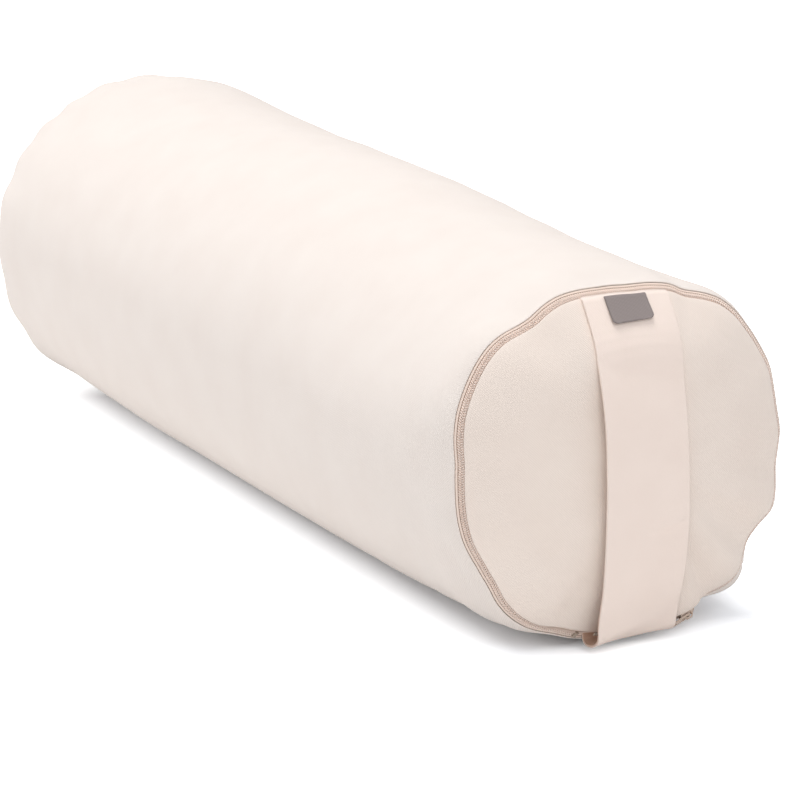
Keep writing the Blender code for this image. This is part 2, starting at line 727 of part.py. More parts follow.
def build_filling(root):
    """The pressed body of kapok that fills the inner cushion."""
    inset = LINER_CLOTH + FILLING_GAP
    depth = CANVAS + LINER_GAP + inset
    rim = Rim(-LINER_END_INSET - inset, SEAM_RADIUS - LINER_RIM_INSET - inset - SEAT_GAP)
    ends = (straight_end(-1, LINER_END_INSET + inset), straight_end(1, LINER_END_INSET + inset))
    shares = (0.5, 0.85, 1.0)
    crown = END_RISE - CANVAS - LINER_GAP - inset
    dome, first = dome_rows(-1, rim, crown, LINER_SEGMENTS, (0.93, 0.78, 0.5), False)
    rows = dome[::-1]
    rows += [shoulder_row(-1, share, LINER_SEGMENTS, depth, rim, False)
             for share in reversed(shares)]
    rows += [tube_row(x, LINER_SEGMENTS, depth) for x in (ends[0], 0.0, ends[1])]
    rows += [shoulder_row(1, share, LINER_SEGMENTS, depth, rim, False) for share in shares]
    face_out = LINER_FACE_OUT - LINER_CLOTH - FILLING_FACE_GAP
    face, last = flat_face_rows(rim, face_out, LINER_FACE_RADIUS - inset, LINER_SEGMENTS)
    rows += face[1:]
    body = add_object("filling", sheet_mesh("filling", rows, first, last), root)
    finish(body, (0.74, 0.66, 0.50), 1.0)


def liner_zip_matrix():
    """Frame of the inner zip: X along it, Y across it, and Z off its face; in the world."""
    height = SEAT_GAP + TAPE_THICKNESS / 2
    lean = math.radians(FRONT_LEAN)
    outward = Vector((math.cos(lean), 0, math.sin(lean)))
    upward = Vector((-math.sin(lean), 0, math.cos(lean)))
    turned = Matrix((Vector((0, 1, 0)), upward, outward)).transposed().to_4x4()
    return Matrix.Translation(end_point(1, LINER_FACE_OUT + height, 0.0, 0.0)) @ turned


def build_liner_zip(root):
    """The straight zip across the inner cushion's front face."""
    frame = add_empty("liner_zip", root, liner_zip_matrix())
    half = LINER_CHAIN_LENGTH / 2
    half_tape = half + LINER_TAPE_END
    for name, side in (("lower", -1), ("upper", 1)):
        outline = tape_outline(side, LINER_TAPE_WIDTH)
        mesh = sweep_mesh("tape", [[(x, y, z) for y, z in outline] for x in (-half_tape, half_tape)])
        finish(add_object("liner_zip_tape_" + name, mesh, frame), (0.78, 0.76, 0.72), 0.85)
        outline = coil_outline(side)
        mesh = sweep_mesh("coil", [[(x, y, z) for y, z in outline] for x in (-half, half)])
        finish(add_object("liner_zip_coil_" + name, mesh, frame), (0.78, 0.76, 0.72), 0.45)
    foot = TAPE_THICKNESS / 2 + SEAT_GAP
    wide = COIL_GAP / 2 + COIL_WIDTH
    for name, side in (("left", -1), ("right", 1)):
        near = side * (half + SEAT_GAP)
        far = side * (half + SEAT_GAP + STOP_LENGTH)
        mesh = box_mesh("stop", (min(near, far), -wide, foot),
                        (max(near, far), wide, foot + COIL_HEIGHT))
        finish(add_object("liner_zip_stop_" + name, mesh, frame), (0.70, 0.66, 0.60), 0.35, 1.0)
    slider = build_slider("liner_zip_slider", frame)
    slider.location = (half - SLIDER_LENGTH / 2 - SEAT_GAP, 0, 0)
    hang_pull("liner_zip_pull", slider)


def centre_on_box(root):
    """Moves the whole bolster so that its box is centred on X = 0."""
    bpy.context.view_layer.update()
    reach = []
    for piece in bpy.context.scene.objects:
        if piece.type == "MESH":
            shaped = piece.evaluated_get(bpy.context.evaluated_depsgraph_get())
            reach += [(shaped.matrix_world @ Vector(corner)).x for corner in shaped.bound_box]
    root.location.x = -(min(reach) + max(reach)) / 2


def main():
    for old in list(bpy.data.objects):
        bpy.data.objects.remove(old)
    root = add_empty("bolster", None)
    lean = Matrix.Rotation(-math.radians(FRONT_LEAN), 4, "Y")
    front_end = add_empty("front_end", root, Matrix.Translation(end_point(1, 0, 0, 0)) @ lean)
    build_cover(root)
    build_zip(front_end)
    build_cover_slider(front_end)
    build_strap(root)
    build_label(root)
    build_liner(root)
    build_filling(root)
    build_liner_zip(root)
    centre_on_box(root)


main()
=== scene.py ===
import math

import bpy
import numpy as np
from mathutils import Matrix, Vector
from mathutils.bvhtree import BVHTree


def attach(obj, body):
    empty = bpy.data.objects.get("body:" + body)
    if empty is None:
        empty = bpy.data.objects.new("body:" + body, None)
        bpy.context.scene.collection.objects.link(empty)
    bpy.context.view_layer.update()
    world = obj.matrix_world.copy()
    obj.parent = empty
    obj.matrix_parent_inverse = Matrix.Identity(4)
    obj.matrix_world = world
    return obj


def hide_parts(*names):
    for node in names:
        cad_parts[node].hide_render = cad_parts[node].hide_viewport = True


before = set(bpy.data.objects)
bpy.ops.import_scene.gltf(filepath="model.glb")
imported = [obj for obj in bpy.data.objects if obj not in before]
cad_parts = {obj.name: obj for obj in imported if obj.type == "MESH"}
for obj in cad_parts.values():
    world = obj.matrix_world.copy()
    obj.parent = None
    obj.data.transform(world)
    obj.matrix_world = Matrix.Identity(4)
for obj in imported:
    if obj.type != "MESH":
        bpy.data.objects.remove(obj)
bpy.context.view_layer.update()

# Lengths in metres, angles in degrees round the bolster from +Y towards +Z: -90 is underneath
# and 90 is on top.
CENTRING = -0.005166        # the bolster's middle from the origin, along X
SEAM_X = 0.31175            # of each end seam from the bolster's middle
HALF_WIDTH = 0.1030         # of the full girth
WIDEST_HEIGHT = 0.1005      # above the floor, where it is widest
CROWN_HEIGHT = 0.0955       # of the top above there
BELLY_SQUARENESS = 2.75     # power of the lower side's curve: 2 is an ellipse, more sits flatter
FLOOR_CUT = 0.0005          # how far below the floor that curve would reach
TAPER = 0.002               # fuller at the back end, slimmer at the zipped one
WAIST_DEPTH = 0.003         # how much slimmer the middle is
FRONT_SHOULDER = (0.034, 3.0)       # its length and how long it keeps the girth full
BACK_SHOULDER = (0.040, 4.2)
SEAM_RADIUS = 0.0953        # of the zipped end's seam
BACK_SEAM_RADIUS = 0.0931
SEAM_AXIS_HEIGHT = 0.0978   # of both ends' axis above the floor
END_RISE = 0.022            # of the far end's crown beyond its seam
FRONT_RISE = 0.0265         # of the zipped end's crown, which the stuffing pushes out further
END_ROUNDING = 0.8          # power of the crown's curve: less is fuller
FRONT_LEAN = 3.0            # the top of the zipped end leans back
CLOTH = 0.0008              # the cover's thickness
BAND_TILT = 45.0            # of the zip between the side and the end
HALF_BAND = 0.0042          # half of the zip's width
COVERED = 0.0021            # the end panel's folded edge comes this near to the zip's middle
SLIDER_ROOM = 0.0042        # and this near where the slider stands, shut or open
CLOSED_ANGLE = -67.0        # where the slider's middle stands when the zip is shut
OPEN_ANGLE = 248.0          # and when it is open
SLIDER_HALF_ANGLE = 3.2     # half the slider's length, round the zip
SLIDER_FADE = 7.5           # from the slider's middle to where the zip waves in full
EDGE_RADIUS = 0.0963        # of the zip's outer edge, before its waves
WAVE_SMOOTHING = 1.6        # in degrees, of the waves read from the photograph
FOLD_SPREAD = 20.0          # waves narrower than this run on as folds into the cloth beside them
FAR_FULLNESS = 0.0006       # how far the far seam stands out between its puckers
FLOOR_GAP = 0.0004          # the cover's lowest cloth levels off this far above the floor
COVER_COLUMNS = 216         # points round the cover's panels
LINER_COLUMNS = 96          # and round the pieces inside it

# How far the outer edge of the zip stands from the axis of its end, in millimetres by angle.
# Tight stitching draws it into waves.
SEAM_WAVES = (
    (2, 97.1), (10, 96.2), (17, 97.2), (23, 98.9), (31, 98.7), (39, 99.0), (46, 99.9),
    (53, 99.3), (59, 96.8), (66, 93.6), (71, 94.9), (76, 93.9), (87, 91.9), (98, 93.2),
    (106, 95.6), (112, 97.2), (118, 97.0), (123, 95.8), (128, 97.6), (133, 101.0),
    (138, 102.8), (144, 103.1), (152, 102.4), (159, 101.7), (166, 99.7), (174, 96.6),
    (182, 96.6), (191, 97.5), (199, 97.8), (208, 96.5), (216, 97.0), (222, 99.4),
    (228, 100.3), (235, 99.9), (241, 97.9), (245, 96.5), (252, 96.0), (262, 93.8), (275, 94.2),
    (284, 94.8), (291, 94.9), (298, 93.0), (303, 94.5), (307, 97.8), (312, 100.3),
    (316, 99.8), (320, 95.8), (325, 92.8), (331, 94.8), (337, 99.9), (343, 98.3),
    (351, 95.0), (357, 95.8),
)
# The far seam's puckers: angle, depth in millimetres and half-width in degrees
FAR_PUCKERS = (
    (8, 2.0, 7), (31, 2.6, 6), (54, 1.8, 6), (75, 2.2, 6), (98, 1.2, 5), (115, 1.4, 5),
    (128, 1.8, 5), (143, 1.2, 5), (158, 1.5, 5), (176, 0.8, 6), (196, 1.0, 6), (214, 2.2, 6),
    (236, 1.6, 7), (304, 1.8, 7), (324, 2.6, 6), (345, 2.0, 6),
)


def lerp(a, b, share):
    """The value at a share of the way from a to b."""
    return a + (b - a) * share


def smooth_step(value, low, high):
    """0 up to low and 1 from high on, with a smooth rise between them."""
    share = np.clip((value - low) / (high - low), 0.0, 1.0)
    return share * share * (3 - 2 * share)


def smooth_ring(values, spread):
    """Values round a full circle, at equal steps, smoothed over a spread in degrees."""
    count = len(values)
    steps = np.fft.fftfreq(count, d=1.0 / count)
    fade = np.exp(-0.5 * (steps * math.radians(spread)) ** 2)
    return np.real(np.fft.ifft(np.fft.fft(values) * fade))


RING = np.arange(0.0, 360.0, 0.5)


def ring_gap(degrees, place):
    """Turn from a place to other places round a ring, from -180 to 180 degrees."""
    return (degrees - place + 180.0) % 360.0 - 180.0


def waves_of_zip():
    """How far the zip's outer edge stands out beyond an even ring, by angle."""
    places = np.array([mark[0] for mark in SEAM_WAVES], dtype=float)
    radii = np.array([mark[1] for mark in SEAM_WAVES], dtype=float)
    line = np.interp(RING, np.append(places, places[0] + 360.0), np.append(radii, radii[0]))
    before = RING < places[0]
    line[before] = np.interp(RING[before] + 360.0, (places[-1], places[0] + 360.0),
                             (radii[-1], radii[0]))
    return smooth_ring(line, WAVE_SMOOTHING) / 1000.0 - EDGE_RADIUS


def waves_of_far_seam():
    """How far the far seam stands out beyond an even ring, by angle."""
    line = np.zeros_like(RING)
    for place, depth, half_width in FAR_PUCKERS:
        line -= depth / 1000.0 * np.exp(-(ring_gap(RING, place) / half_width) ** 2)
    return line + FAR_FULLNESS


FRONT_WAVE = waves_of_zip()
FRONT_FOLDS = FRONT_WAVE - smooth_ring(FRONT_WAVE, FOLD_SPREAD)
FAR_WAVE = waves_of_far_seam()
FAR_FOLDS = FAR_WAVE - smooth_ring(FAR_WAVE, FOLD_SPREAD)


def around(values, angle):
    """Values given round the ring, read at angles in radians."""
    return np.interp(np.degrees(angle) % 360.0, np.append(RING, 360.0),
                     np.append(values, values[0]))


def straight_end(side):
    """Place where the full girth ends and the shoulder begins."""
    return side * (SEAM_X - (FRONT_SHOULDER if side > 0 else BACK_SHOULDER)[0])


def section(angle, x):
    """Half-extent (y, z) of the full girth at angles in radians."""
    along = x / abs(straight_end(1 if x > 0 else -1))
    waist = WAIST_DEPTH * math.cos(math.pi / 2 * min(1.0, abs(along))) ** 2 + TAPER * along
    across = np.cos(angle)
    upward = np.sin(angle)
    power = np.where(upward >= 0, 2.0, BELLY_SQUARENESS)
    height = np.where(upward >= 0, CROWN_HEIGHT - waist, WIDEST_HEIGHT + FLOOR_CUT)
    spread = np.abs(across / (HALF_WIDTH - waist)) ** power + np.abs(upward / height) ** power
    reach = spread ** (-1.0 / power)
    return reach * across, WIDEST_HEIGHT + reach * upward


def end_points(side, out, radius, angle):
    """Points of a ring round an end's axis, as rows of x, y and z."""
    lean = math.radians(FRONT_LEAN) if side > 0 else 0.0
    up = radius * np.sin(angle)
    x = SEAM_X + out * math.cos(lean) - up * math.sin(lean)
    z = SEAM_AXIS_HEIGHT + up * math.cos(lean) + out * math.sin(lean)
    return np.stack([side * x + CENTRING, radius * np.cos(angle), z + 0 * angle], axis=-1)


def band_place(across, height):
    """Distance out and radius of a point of the zip, before its waves."""
    tilt = math.radians(BAND_TILT)
    out = (HALF_BAND + across) * math.cos(tilt) + height * math.sin(tilt)
    radius = SEAM_RADIUS - (HALF_BAND + across) * math.sin(tilt) + height * math.cos(tilt)
    return out, radius


def away_from(place, angle, fade=SLIDER_FADE):
    """0 where the slider stands, its middle at a place in degrees, and 1 from fade degrees on."""
    gap = np.abs(ring_gap(np.degrees(angle), place))
    return smooth_step(gap, SLIDER_HALF_ANGLE, fade)


def slider_calm(angle):
    """1 where the zip may wave, 0 where the slider stands when it is shut."""
    return away_from(CLOSED_ANGLE, angle)


def zip_wave(angle):
    """The zip's waves, level where the slider stands when it is shut."""
    return around(FRONT_WAVE, angle) * slider_calm(angle)


def band_points(angle, across, height):
    """Points of the zip round its ring: across from its middle, and height off it."""
    out, radius = band_place(across, height)
    return end_points(1, out, radius + zip_wave(angle), angle)


def ring_angles(count, extra=()):
    """Even angles round a ring, with extra ones in degrees, in radians and in order."""
    angles = list(np.radians(-90.0 + 360.0 / count * (np.arange(count) + 0.5)))
    angles += [math.radians(place) for place in extra]
    return np.array(sorted(angles))


def grid_normals(points, closed):
    """Outward unit normals of a grid of points, by rows and columns."""
    along = np.gradient(points, axis=0)
    if closed:
        wrapped = np.concatenate([points[:, -1:], points, points[:, :1]], axis=1)
        across = np.gradient(wrapped, axis=1)[:, 1:-1]
    else:
        across = np.gradient(points, axis=1)
    normal = np.cross(across, along)
    return normal / np.maximum(np.linalg.norm(normal, axis=-1, keepdims=True), 1e-12)


def surface(name, points, uv, closed=True, cap=None, loop_rows=False):
    """Mesh through a grid of points, with its cloth coordinates in millimetres.

    Closed joins the last column to the first, cap closes an end with a middle point, and
    loop_rows joins the last row to the first.
    """
    rows, columns = points.shape[:2]
    verts = [tuple(point) for point in points.reshape(-1, 3)]
    faces = []
    corners = []
    last = columns if closed else columns - 1
    steps = [(row, row + 1) for row in range(rows - 1)]
    if loop_rows:
        steps.append((rows - 1, 0))
    for near, far in steps:
        for column in range(last):
            after = (column + 1) % columns
            faces.append((near * columns + column, near * columns + after,
                          far * columns + after, far * columns + column))
            far_uv = far if far else rows
            corners += [uv[near][column], uv[near][column + 1],
                        uv[min(far_uv, len(uv) - 1)][column + 1],
                        uv[min(far_uv, len(uv) - 1)][column]]
    for end, row in (("first", 0), ("last", rows - 1)):
        if cap and end in cap:
            middle = len(verts)
            verts.append(tuple(cap[end][0]))
            for column in range(last):
                after = (column + 1) % columns
                pair = (row * columns + column, row * columns + after)
                spots = [uv[row][column], uv[row][column + 1]]
                if end == "first":
                    pair = pair[::-1]
                    spots = spots[::-1]
                faces.append((*pair, middle))
                corners += [*spots, cap[end][1]]
    mesh = bpy.data.meshes.new(name)
    mesh.from_pydata(verts, [], faces)
    layer = mesh.uv_layers.new(name="Cloth")
    layer.data.foreach_set("uv", np.array(corners, dtype=np.float32).ravel())
    mesh.shade_smooth()
    mesh.update()
    piece = bpy.data.objects.new(name, mesh)
    bpy.context.scene.collection.objects.link(piece)
    return piece


def shell_rows(points, uv, thickness, closed=True):
    """Outer rows of a cloth, its folded edge and its inner rows, as one grid."""
    normals = grid_normals(points, closed)
    fold_points = []
    fold_uv = []
    last = points[-1]
    ahead = points[-1] - points[-2]
    ahead /= np.maximum(np.linalg.norm(ahead, axis=-1, keepdims=True), 1e-12)
    half = thickness / 2
    for turn in (45, 90, 135, 180):
        angle = math.radians(turn)
        fold_points.append(last + half * math.sin(angle) * ahead
                           - half * (1 - math.cos(angle)) * normals[-1])
        fold_uv.append(uv[-1])
    inner = points - thickness * normals
    rows = np.concatenate([points, np.array(fold_points), inner[-2::-1]])
    return rows, np.concatenate([uv, np.array(fold_uv), uv[-2::-1]])


def wrap_uv(uv, width=0.0):
    """Adds the column that closes a ring of cloth coordinates, a width further on."""
    first = uv[:, :1].copy()
    first[..., 0] += width
    return np.concatenate([uv, first], axis=1)


def sheet_rows(points, uv, thickness):
    """Rows round both faces of a sheet, from its far end, given its outer face."""
    inner = points + thickness * grid_normals(points, False)
    rows = np.concatenate([points, inner[:, ::-1]], axis=1)
    return rows[::-1], np.concatenate([uv, uv[:, ::-1]], axis=1)[::-1]


def strip(name, rows, uv):
    """Mesh through rows round a long piece, closed by a middle point at both ends."""
    caps = {end: (rows[row].mean(axis=0), tuple(uv[row].mean(axis=0)))
            for end, row in (("first", 0), ("last", -1))}
    return surface(name, rows, wrap_uv(uv), cap=caps)


# The long panel round the bolster

SEAM_ANGLE = -42.0          # of the side panel's own lengthwise seam
SEAM_GROOVE = (0.0007, 0.35)        # its depth, and its half-width in degrees
SEAM_RIDGE = (0.0003, 0.9, 0.6)     # the turned-in cloth beside it: height, place and half-width
SIDE_EDGE_HEIGHT = 0.0014   # of the panel's folded edge over the zip
SIDE_WAVE_REACH = (0.026, 1.5)      # how far in from a seam its waves run, and how sharply they end
SIDE_FOLD_PEAK = 0.013      # from a seam to where its folds stand highest
SIDE_FOLD_SHARE = 0.55      # of the seam's own folds
# How far in from a seam the tube's own shapes are in full
SWELL_FADE = 0.05
STUFFING_FADE = 0.012
GROOVE_FADE = 0.004
GIRTH_RADIUS_MM = 98.0      # turns angles into cloth coordinates
# Distances in from each end seam of the panel's rings of points, and the middle ones' places
SIDE_RINGS = (0.0, 0.001, 0.002, 0.0035, 0.005, 0.007, 0.009, 0.0115, 0.014, 0.017, 0.020,
              0.024, 0.028, 0.033, 0.039, 0.046, 0.054, 0.064, 0.076, 0.09)
MIDDLE_RINGS = np.linspace(-0.19, 0.19, 17)


def girth_swell(angle, x):
    """Slow swells that loose kapok leaves in a tightly filled tube.

    Each is a height in metres, a count of waves round the tube and a drift along it.
    """
    swell = 0.0006 * np.sin(2 * angle + 1.0 + 11 * x) * math.cos(9 * x + 0.6)
    swell += 0.0005 * np.sin(3 * angle - 2.0 - 17 * x) * math.cos(14 * x)
    return swell + 0.0003 * np.sin(5 * angle + 23 * x)


# Where the tube's top and lower side stand proud of an even girth, in millimetres by place
CROWN_SWELL = (
    (-0.32, -3.5), (-0.295, -3.2), (-0.262, 0.8), (-0.19, -1.6), (-0.12, -0.4), (-0.065, 2.8),
    (0.0, 4.4), (0.05, 5.0), (0.09, 3.4), (0.13, 0.6), (0.18, -2.2), (0.24, -1.4), (0.28, 0.3),
    (0.32, 0.0),
)
FLANK_SWELL = (
    (-0.32, -1.5), (-0.25, -2.4), (-0.19, -0.6), (-0.12, 1.0), (0.0, 1.6), (0.12, 1.4),
    (0.2, 0.0), (0.24, -2.6), (0.28, -5.0), (0.30, -5.5), (0.32, -4.0),
)
FLANK_ANGLE = 231.0         # of the lower side that the photograph shows
FLANK_SPREAD = 34.0
BROW_POWER = 1.5            # how quickly a swell of the top fades down the sides


def brow_share(angle):
    """1 at the very top, 0 from halfway down."""
    return np.clip(np.sin(angle), 0, 1) ** BROW_POWER


def slow_swell(marks, x):
    """Smooth value of a table of places and millimetres."""
    places = np.array([mark[0] for mark in marks])
    lifts = np.array([mark[1] for mark in marks])
    index = int(np.clip(np.searchsorted(places, x) - 1, 0, len(places) - 2))
    share = smooth_step(np.array(x), places[index], places[index + 1])
    return float(lerp(lifts[index], lifts[index + 1], share)) / 1000.0


def uneven_girth(angle, x):
    """How far the stuffing pushes the tube out beyond an even girth."""
    flank = np.exp(-ring_gap(np.degrees(angle), FLANK_ANGLE) ** 2 / FLANK_SPREAD ** 2)
    return brow_share(angle) * slow_swell(CROWN_SWELL, x) + flank * slow_swell(FLANK_SWELL, x)


def seam_groove(angle):
    """Depth of the lengthwise seam's groove, less the ridge beside it."""
    depth, half_width = SEAM_GROOVE
    ridge, ridge_place, ridge_width = SEAM_RIDGE
    gap = np.degrees(angle) - SEAM_ANGLE
    return (depth * np.exp(-(gap / half_width) ** 2)
            - ridge * np.exp(-((gap - ridge_place) / ridge_width) ** 2))


def side_row(angle, x):
    """One ring of the side panel at a place x from the bolster's middle."""
    side = 1 if x > 0 else -1
    length, rounding = FRONT_SHOULDER if side > 0 else BACK_SHOULDER
    straight = SEAM_X - length
    front_edge = band_place(-HALF_BAND, SIDE_EDGE_HEIGHT)
    edge_out, edge_radius = front_edge if side > 0 else (0.0, BACK_SEAM_RADIUS)
    wave = zip_wave(angle) if side > 0 else around(FAR_WAVE, angle)
    folds = around(FRONT_FOLDS if side > 0 else FAR_FOLDS, angle)
    reach = abs(x)
    if reach <= straight:
        y, z = section(angle, x)
        ring = np.stack([x + CENTRING + 0 * y, y, z], axis=-1)
    else:               # the shoulder, drawn in to the seam
        share = (reach - straight) / length
        y, z = section(angle, side * straight)
        edge = end_points(side, edge_out, edge_radius, angle)
        start = side * straight + CENTRING
        pull = share ** rounding
        along = start + (edge[:, 0] - start) * share
        ring = np.stack([along, lerp(y, edge[:, 1], pull), lerp(z, edge[:, 2], pull)], axis=-1)
    distance = max(SEAM_X - reach, 0.0)
    wave_reach, wave_power = SIDE_WAVE_REACH
    lift = wave * math.exp(-(distance / wave_reach) ** wave_power)
    near = distance / SIDE_FOLD_PEAK
    lift += SIDE_FOLD_SHARE * folds * near * math.exp(1 - near)
    lift += girth_swell(angle, x) * min(1.0, distance / SWELL_FADE)
    lift += uneven_girth(angle, x) * min(1.0, distance / STUFFING_FADE)
    outward = np.stack([0 * angle, np.cos(angle), np.sin(angle)], axis=-1)
    ring += lift[:, None] * outward
    ring -= (seam_groove(angle) * min(1.0, distance / GROOVE_FADE))[:, None] * outward
    low = FLOOR_GAP * np.exp(ring[:, 2] / FLOOR_GAP - 1.0)
    ring[:, 2] = np.where(ring[:, 2] < FLOOR_GAP, low, ring[:, 2])
    return ring


def make_side_panel():
    """The cotton panel round the bolster, with both edges folded in."""
    beside_seam = (-1.0, -0.6, -0.35, -0.17, 0.0, 0.17, 0.35, 0.6, 1.0, 1.5)
    angle = ring_angles(COVER_COLUMNS, [SEAM_ANGLE + step for step in beside_seam])
    far = [-(SEAM_X - distance) for distance in SIDE_RINGS]
    near = [-place for place in far[::-1]]
    places = far + list(MIDDLE_RINGS) + near
    points = np.array([side_row(angle, x) for x in places])
    around_mm = np.unwrap(angle) * GIRTH_RADIUS_MM
    uv = np.array([np.stack([around_mm, np.full_like(angle, x * 1000)], axis=-1) for x in places])
    rows, row_uv = shell_rows(points, uv, CLOTH)
    closed_uv = wrap_uv(row_uv, GIRTH_RADIUS_MM * 2 * math.pi)
    piece = surface("side_panel_twill", rows, closed_uv, loop_rows=True)
    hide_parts("cover_side_panel")
    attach(piece, "bolster")
    return piece


# End panels

END_EDGE_HEIGHT = 0.0017    # of the zipped end's folded edge over the zip
BACK_INSET = 0.0003         # of the back panel's edge inside the side panel's
OPEN_FADE = 12.0            # degrees from the open slider's middle to where the cloth is at rest
CROWN_START = (0.006, 0.020)        # from the rim beside the slider, where the fuller crown starts
END_WAVE_REACH = (0.022, 1.4)       # how far in from the rim its waves run, and how sharply end
END_FOLD_PEAK = 0.012       # from the rim to where its folds stand highest
END_FOLD_SHARE = 0.75       # of the seam's own folds
BROW_FOLD_SHARE = 0.2       # of these folds that is left at the very top
BROW = (0.0042, 0.027, 0.017)       # the crown's fullness below the top: height, place, spread
SAG_ANGLE = -64.0           # where the zipped end's cloth sags over the zip
SAG_SPREAD = 9.0
SAG = (0.0016, 0.004, 0.008)        # of that cloth: height, place and spread in from the rim
SAG_DROP = 0.0012           # how far it hangs down over the zip
RIPPLE = 0.0004             # of slow wrinkles in the dome
# Shares of the rim's radius at which the panel's rings of points lie
END_RINGS = (0.06, 0.15, 0.26, 0.37, 0.47, 0.56, 0.64, 0.71, 0.77, 0.82, 0.86, 0.895, 0.92, 0.94,
             0.957, 0.97, 0.98, 0.988, 0.995, 1.0)


def sag(angle):
    """1 where the end panel's cloth sags over the zip, low on its +Y side, and 0 away from it."""
    return np.exp(-(ring_gap(np.degrees(angle), SAG_ANGLE) / SAG_SPREAD) ** 2)


def bulge(distance, place, spread):
    """1 at a distance in from the rim, fading on both sides of it."""
    return np.exp(-((distance - place) / spread) ** 2)


def end_panel_row(side, angle, radius_share):
    """One ring of an end panel, at a share of the radius of its rim."""
    if side > 0:
        free = slider_calm(angle) * away_from(OPEN_ANGLE, angle, OPEN_FADE)
        rim = band_place(lerp(SLIDER_ROOM, COVERED, free), END_EDGE_HEIGHT)
        wave = zip_wave(angle)
        folds = around(FRONT_FOLDS, angle) * free * lerp(1.0, BROW_FOLD_SHARE, brow_share(angle))
    else:
        rim = CLOTH + BACK_INSET, BACK_SEAM_RADIUS - BACK_INSET
        wave = around(FAR_WAVE, angle)
        folds = around(FAR_FOLDS, angle)
    rim_out, rim_radius = rim
    radius = rim_radius * radius_share
    distance = rim_radius - radius + 0 * angle
    rise = END_RISE
    if side > 0:        # kept low where the slider stands
        full = np.maximum(free, smooth_step(distance, *CROWN_START))
        rise = lerp(END_RISE, FRONT_RISE, full)
    out = rim_out + (rise - rim_out) * (1 - radius_share ** 2) ** END_ROUNDING
    wave_reach, wave_power = END_WAVE_REACH
    fade = np.exp(-(distance / wave_reach) ** wave_power)
    near = distance / END_FOLD_PEAK
    lift = END_FOLD_SHARE * folds * near * np.exp(1 - near)
    if side > 0:
        sag_height, *sag_place = SAG
        brow_height, *brow_place = BROW
        lift = lift + sag_height * sag(angle) * bulge(distance, *sag_place)
        lift = lift + brow_height * brow_share(angle) * bulge(distance, *brow_place)
        radius = radius + SAG_DROP * sag(angle) * fade
    lift = lift + RIPPLE * np.sin(3 * angle + 40 * radius) * np.minimum(1.0, distance / 0.02)
    return end_points(side, out + lift, radius + wave * fade, angle)


def make_end_panel(name, side, node):
    """One domed end panel, with its edge folded in at the seam."""
    angle = ring_angles(COVER_COLUMNS)
    if side < 0:
        angle = angle[::-1]
    points = np.array([end_panel_row(side, angle, share) for share in END_RINGS])
    points = points[:, ::-1]
    rise = FRONT_RISE if side > 0 else END_RISE
    middle = end_points(side, rise, np.array(0.0), np.array(0.0))
    # the panel is cut flat, so its cloth coordinates are y and z
    rows, row_uv = shell_rows(points, points[..., 1:] * 1000.0, CLOTH)
    inner = middle.copy()
    inner[0] -= side * CLOTH
    caps = {"first": (middle, tuple(middle[1:] * 1000)), "last": (inner, tuple(middle[1:] * 1000))}
    piece = surface(name, rows, wrap_uv(row_uv), cap=caps)
    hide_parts(node)
    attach(piece, "bolster")
    return piece


# Inner cushion

LINER_DEPTH = 0.0021        # of its outer face below the cover's
LINER_CLOTH = 0.0005
LINER_END_INSET = 0.014
LINER_RIM_RADIUS = 0.0858
LINER_FACE = (0.0079, 0.060)        # how far out its flat front face is, and its radius
LINER_RADIUS_MM = 96.0      # turns angles into cloth coordinates
FILLING_GAP = 0.0008        # between the filling and the inside of the inner cushion's cloth


def inner_row(angle, x, inset):
    """One ring of the inner cushion, at an inset from the outer face of its cloth."""
    side = 1 if x > 0 else -1
    length, rounding = FRONT_SHOULDER if side > 0 else BACK_SHOULDER
    straight = SEAM_X - length - LINER_END_INSET - inset
    outward = np.stack([0 * angle, np.cos(angle), np.sin(angle)], axis=-1)
    ring = side_row(angle, side * min(abs(x), straight)) - (LINER_DEPTH + inset) * outward
    if abs(x) > straight:
        share = (abs(x) - straight) / length
        pull = share ** rounding
        edge = end_points(side, -LINER_END_INSET - inset, LINER_RIM_RADIUS - inset, angle)
        ring = ring + (edge - ring) * np.array([share, pull, pull])
    ring[:, 2] = np.maximum(ring[:, 2], LINER_DEPTH + inset)
    return ring


def make_liner():
    """The inner cushion's long panel, close inside the cover."""
    angle = ring_angles(LINER_COLUMNS)
    reach = SEAM_X - LINER_END_INSET
    places = np.concatenate([np.linspace(-reach, -0.2, 14), np.linspace(-0.17, 0.17, 11),
                             np.linspace(0.2, reach, 14)])
    points = np.array([inner_row(angle, float(x), 0.0) for x in places])
    around_mm = np.unwrap(angle) * LINER_RADIUS_MM
    uv = np.array([np.stack([around_mm, np.full_like(angle, x * 1000)], axis=-1) for x in places])
    rows, row_uv = shell_rows(points, uv, LINER_CLOTH)
    closed_uv = wrap_uv(row_uv, LINER_RADIUS_MM * 2 * math.pi)
    piece = surface("liner_side_weave", rows, closed_uv, loop_rows=True)
    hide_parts("liner_side_panel")
    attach(piece, "bolster")
    return piece


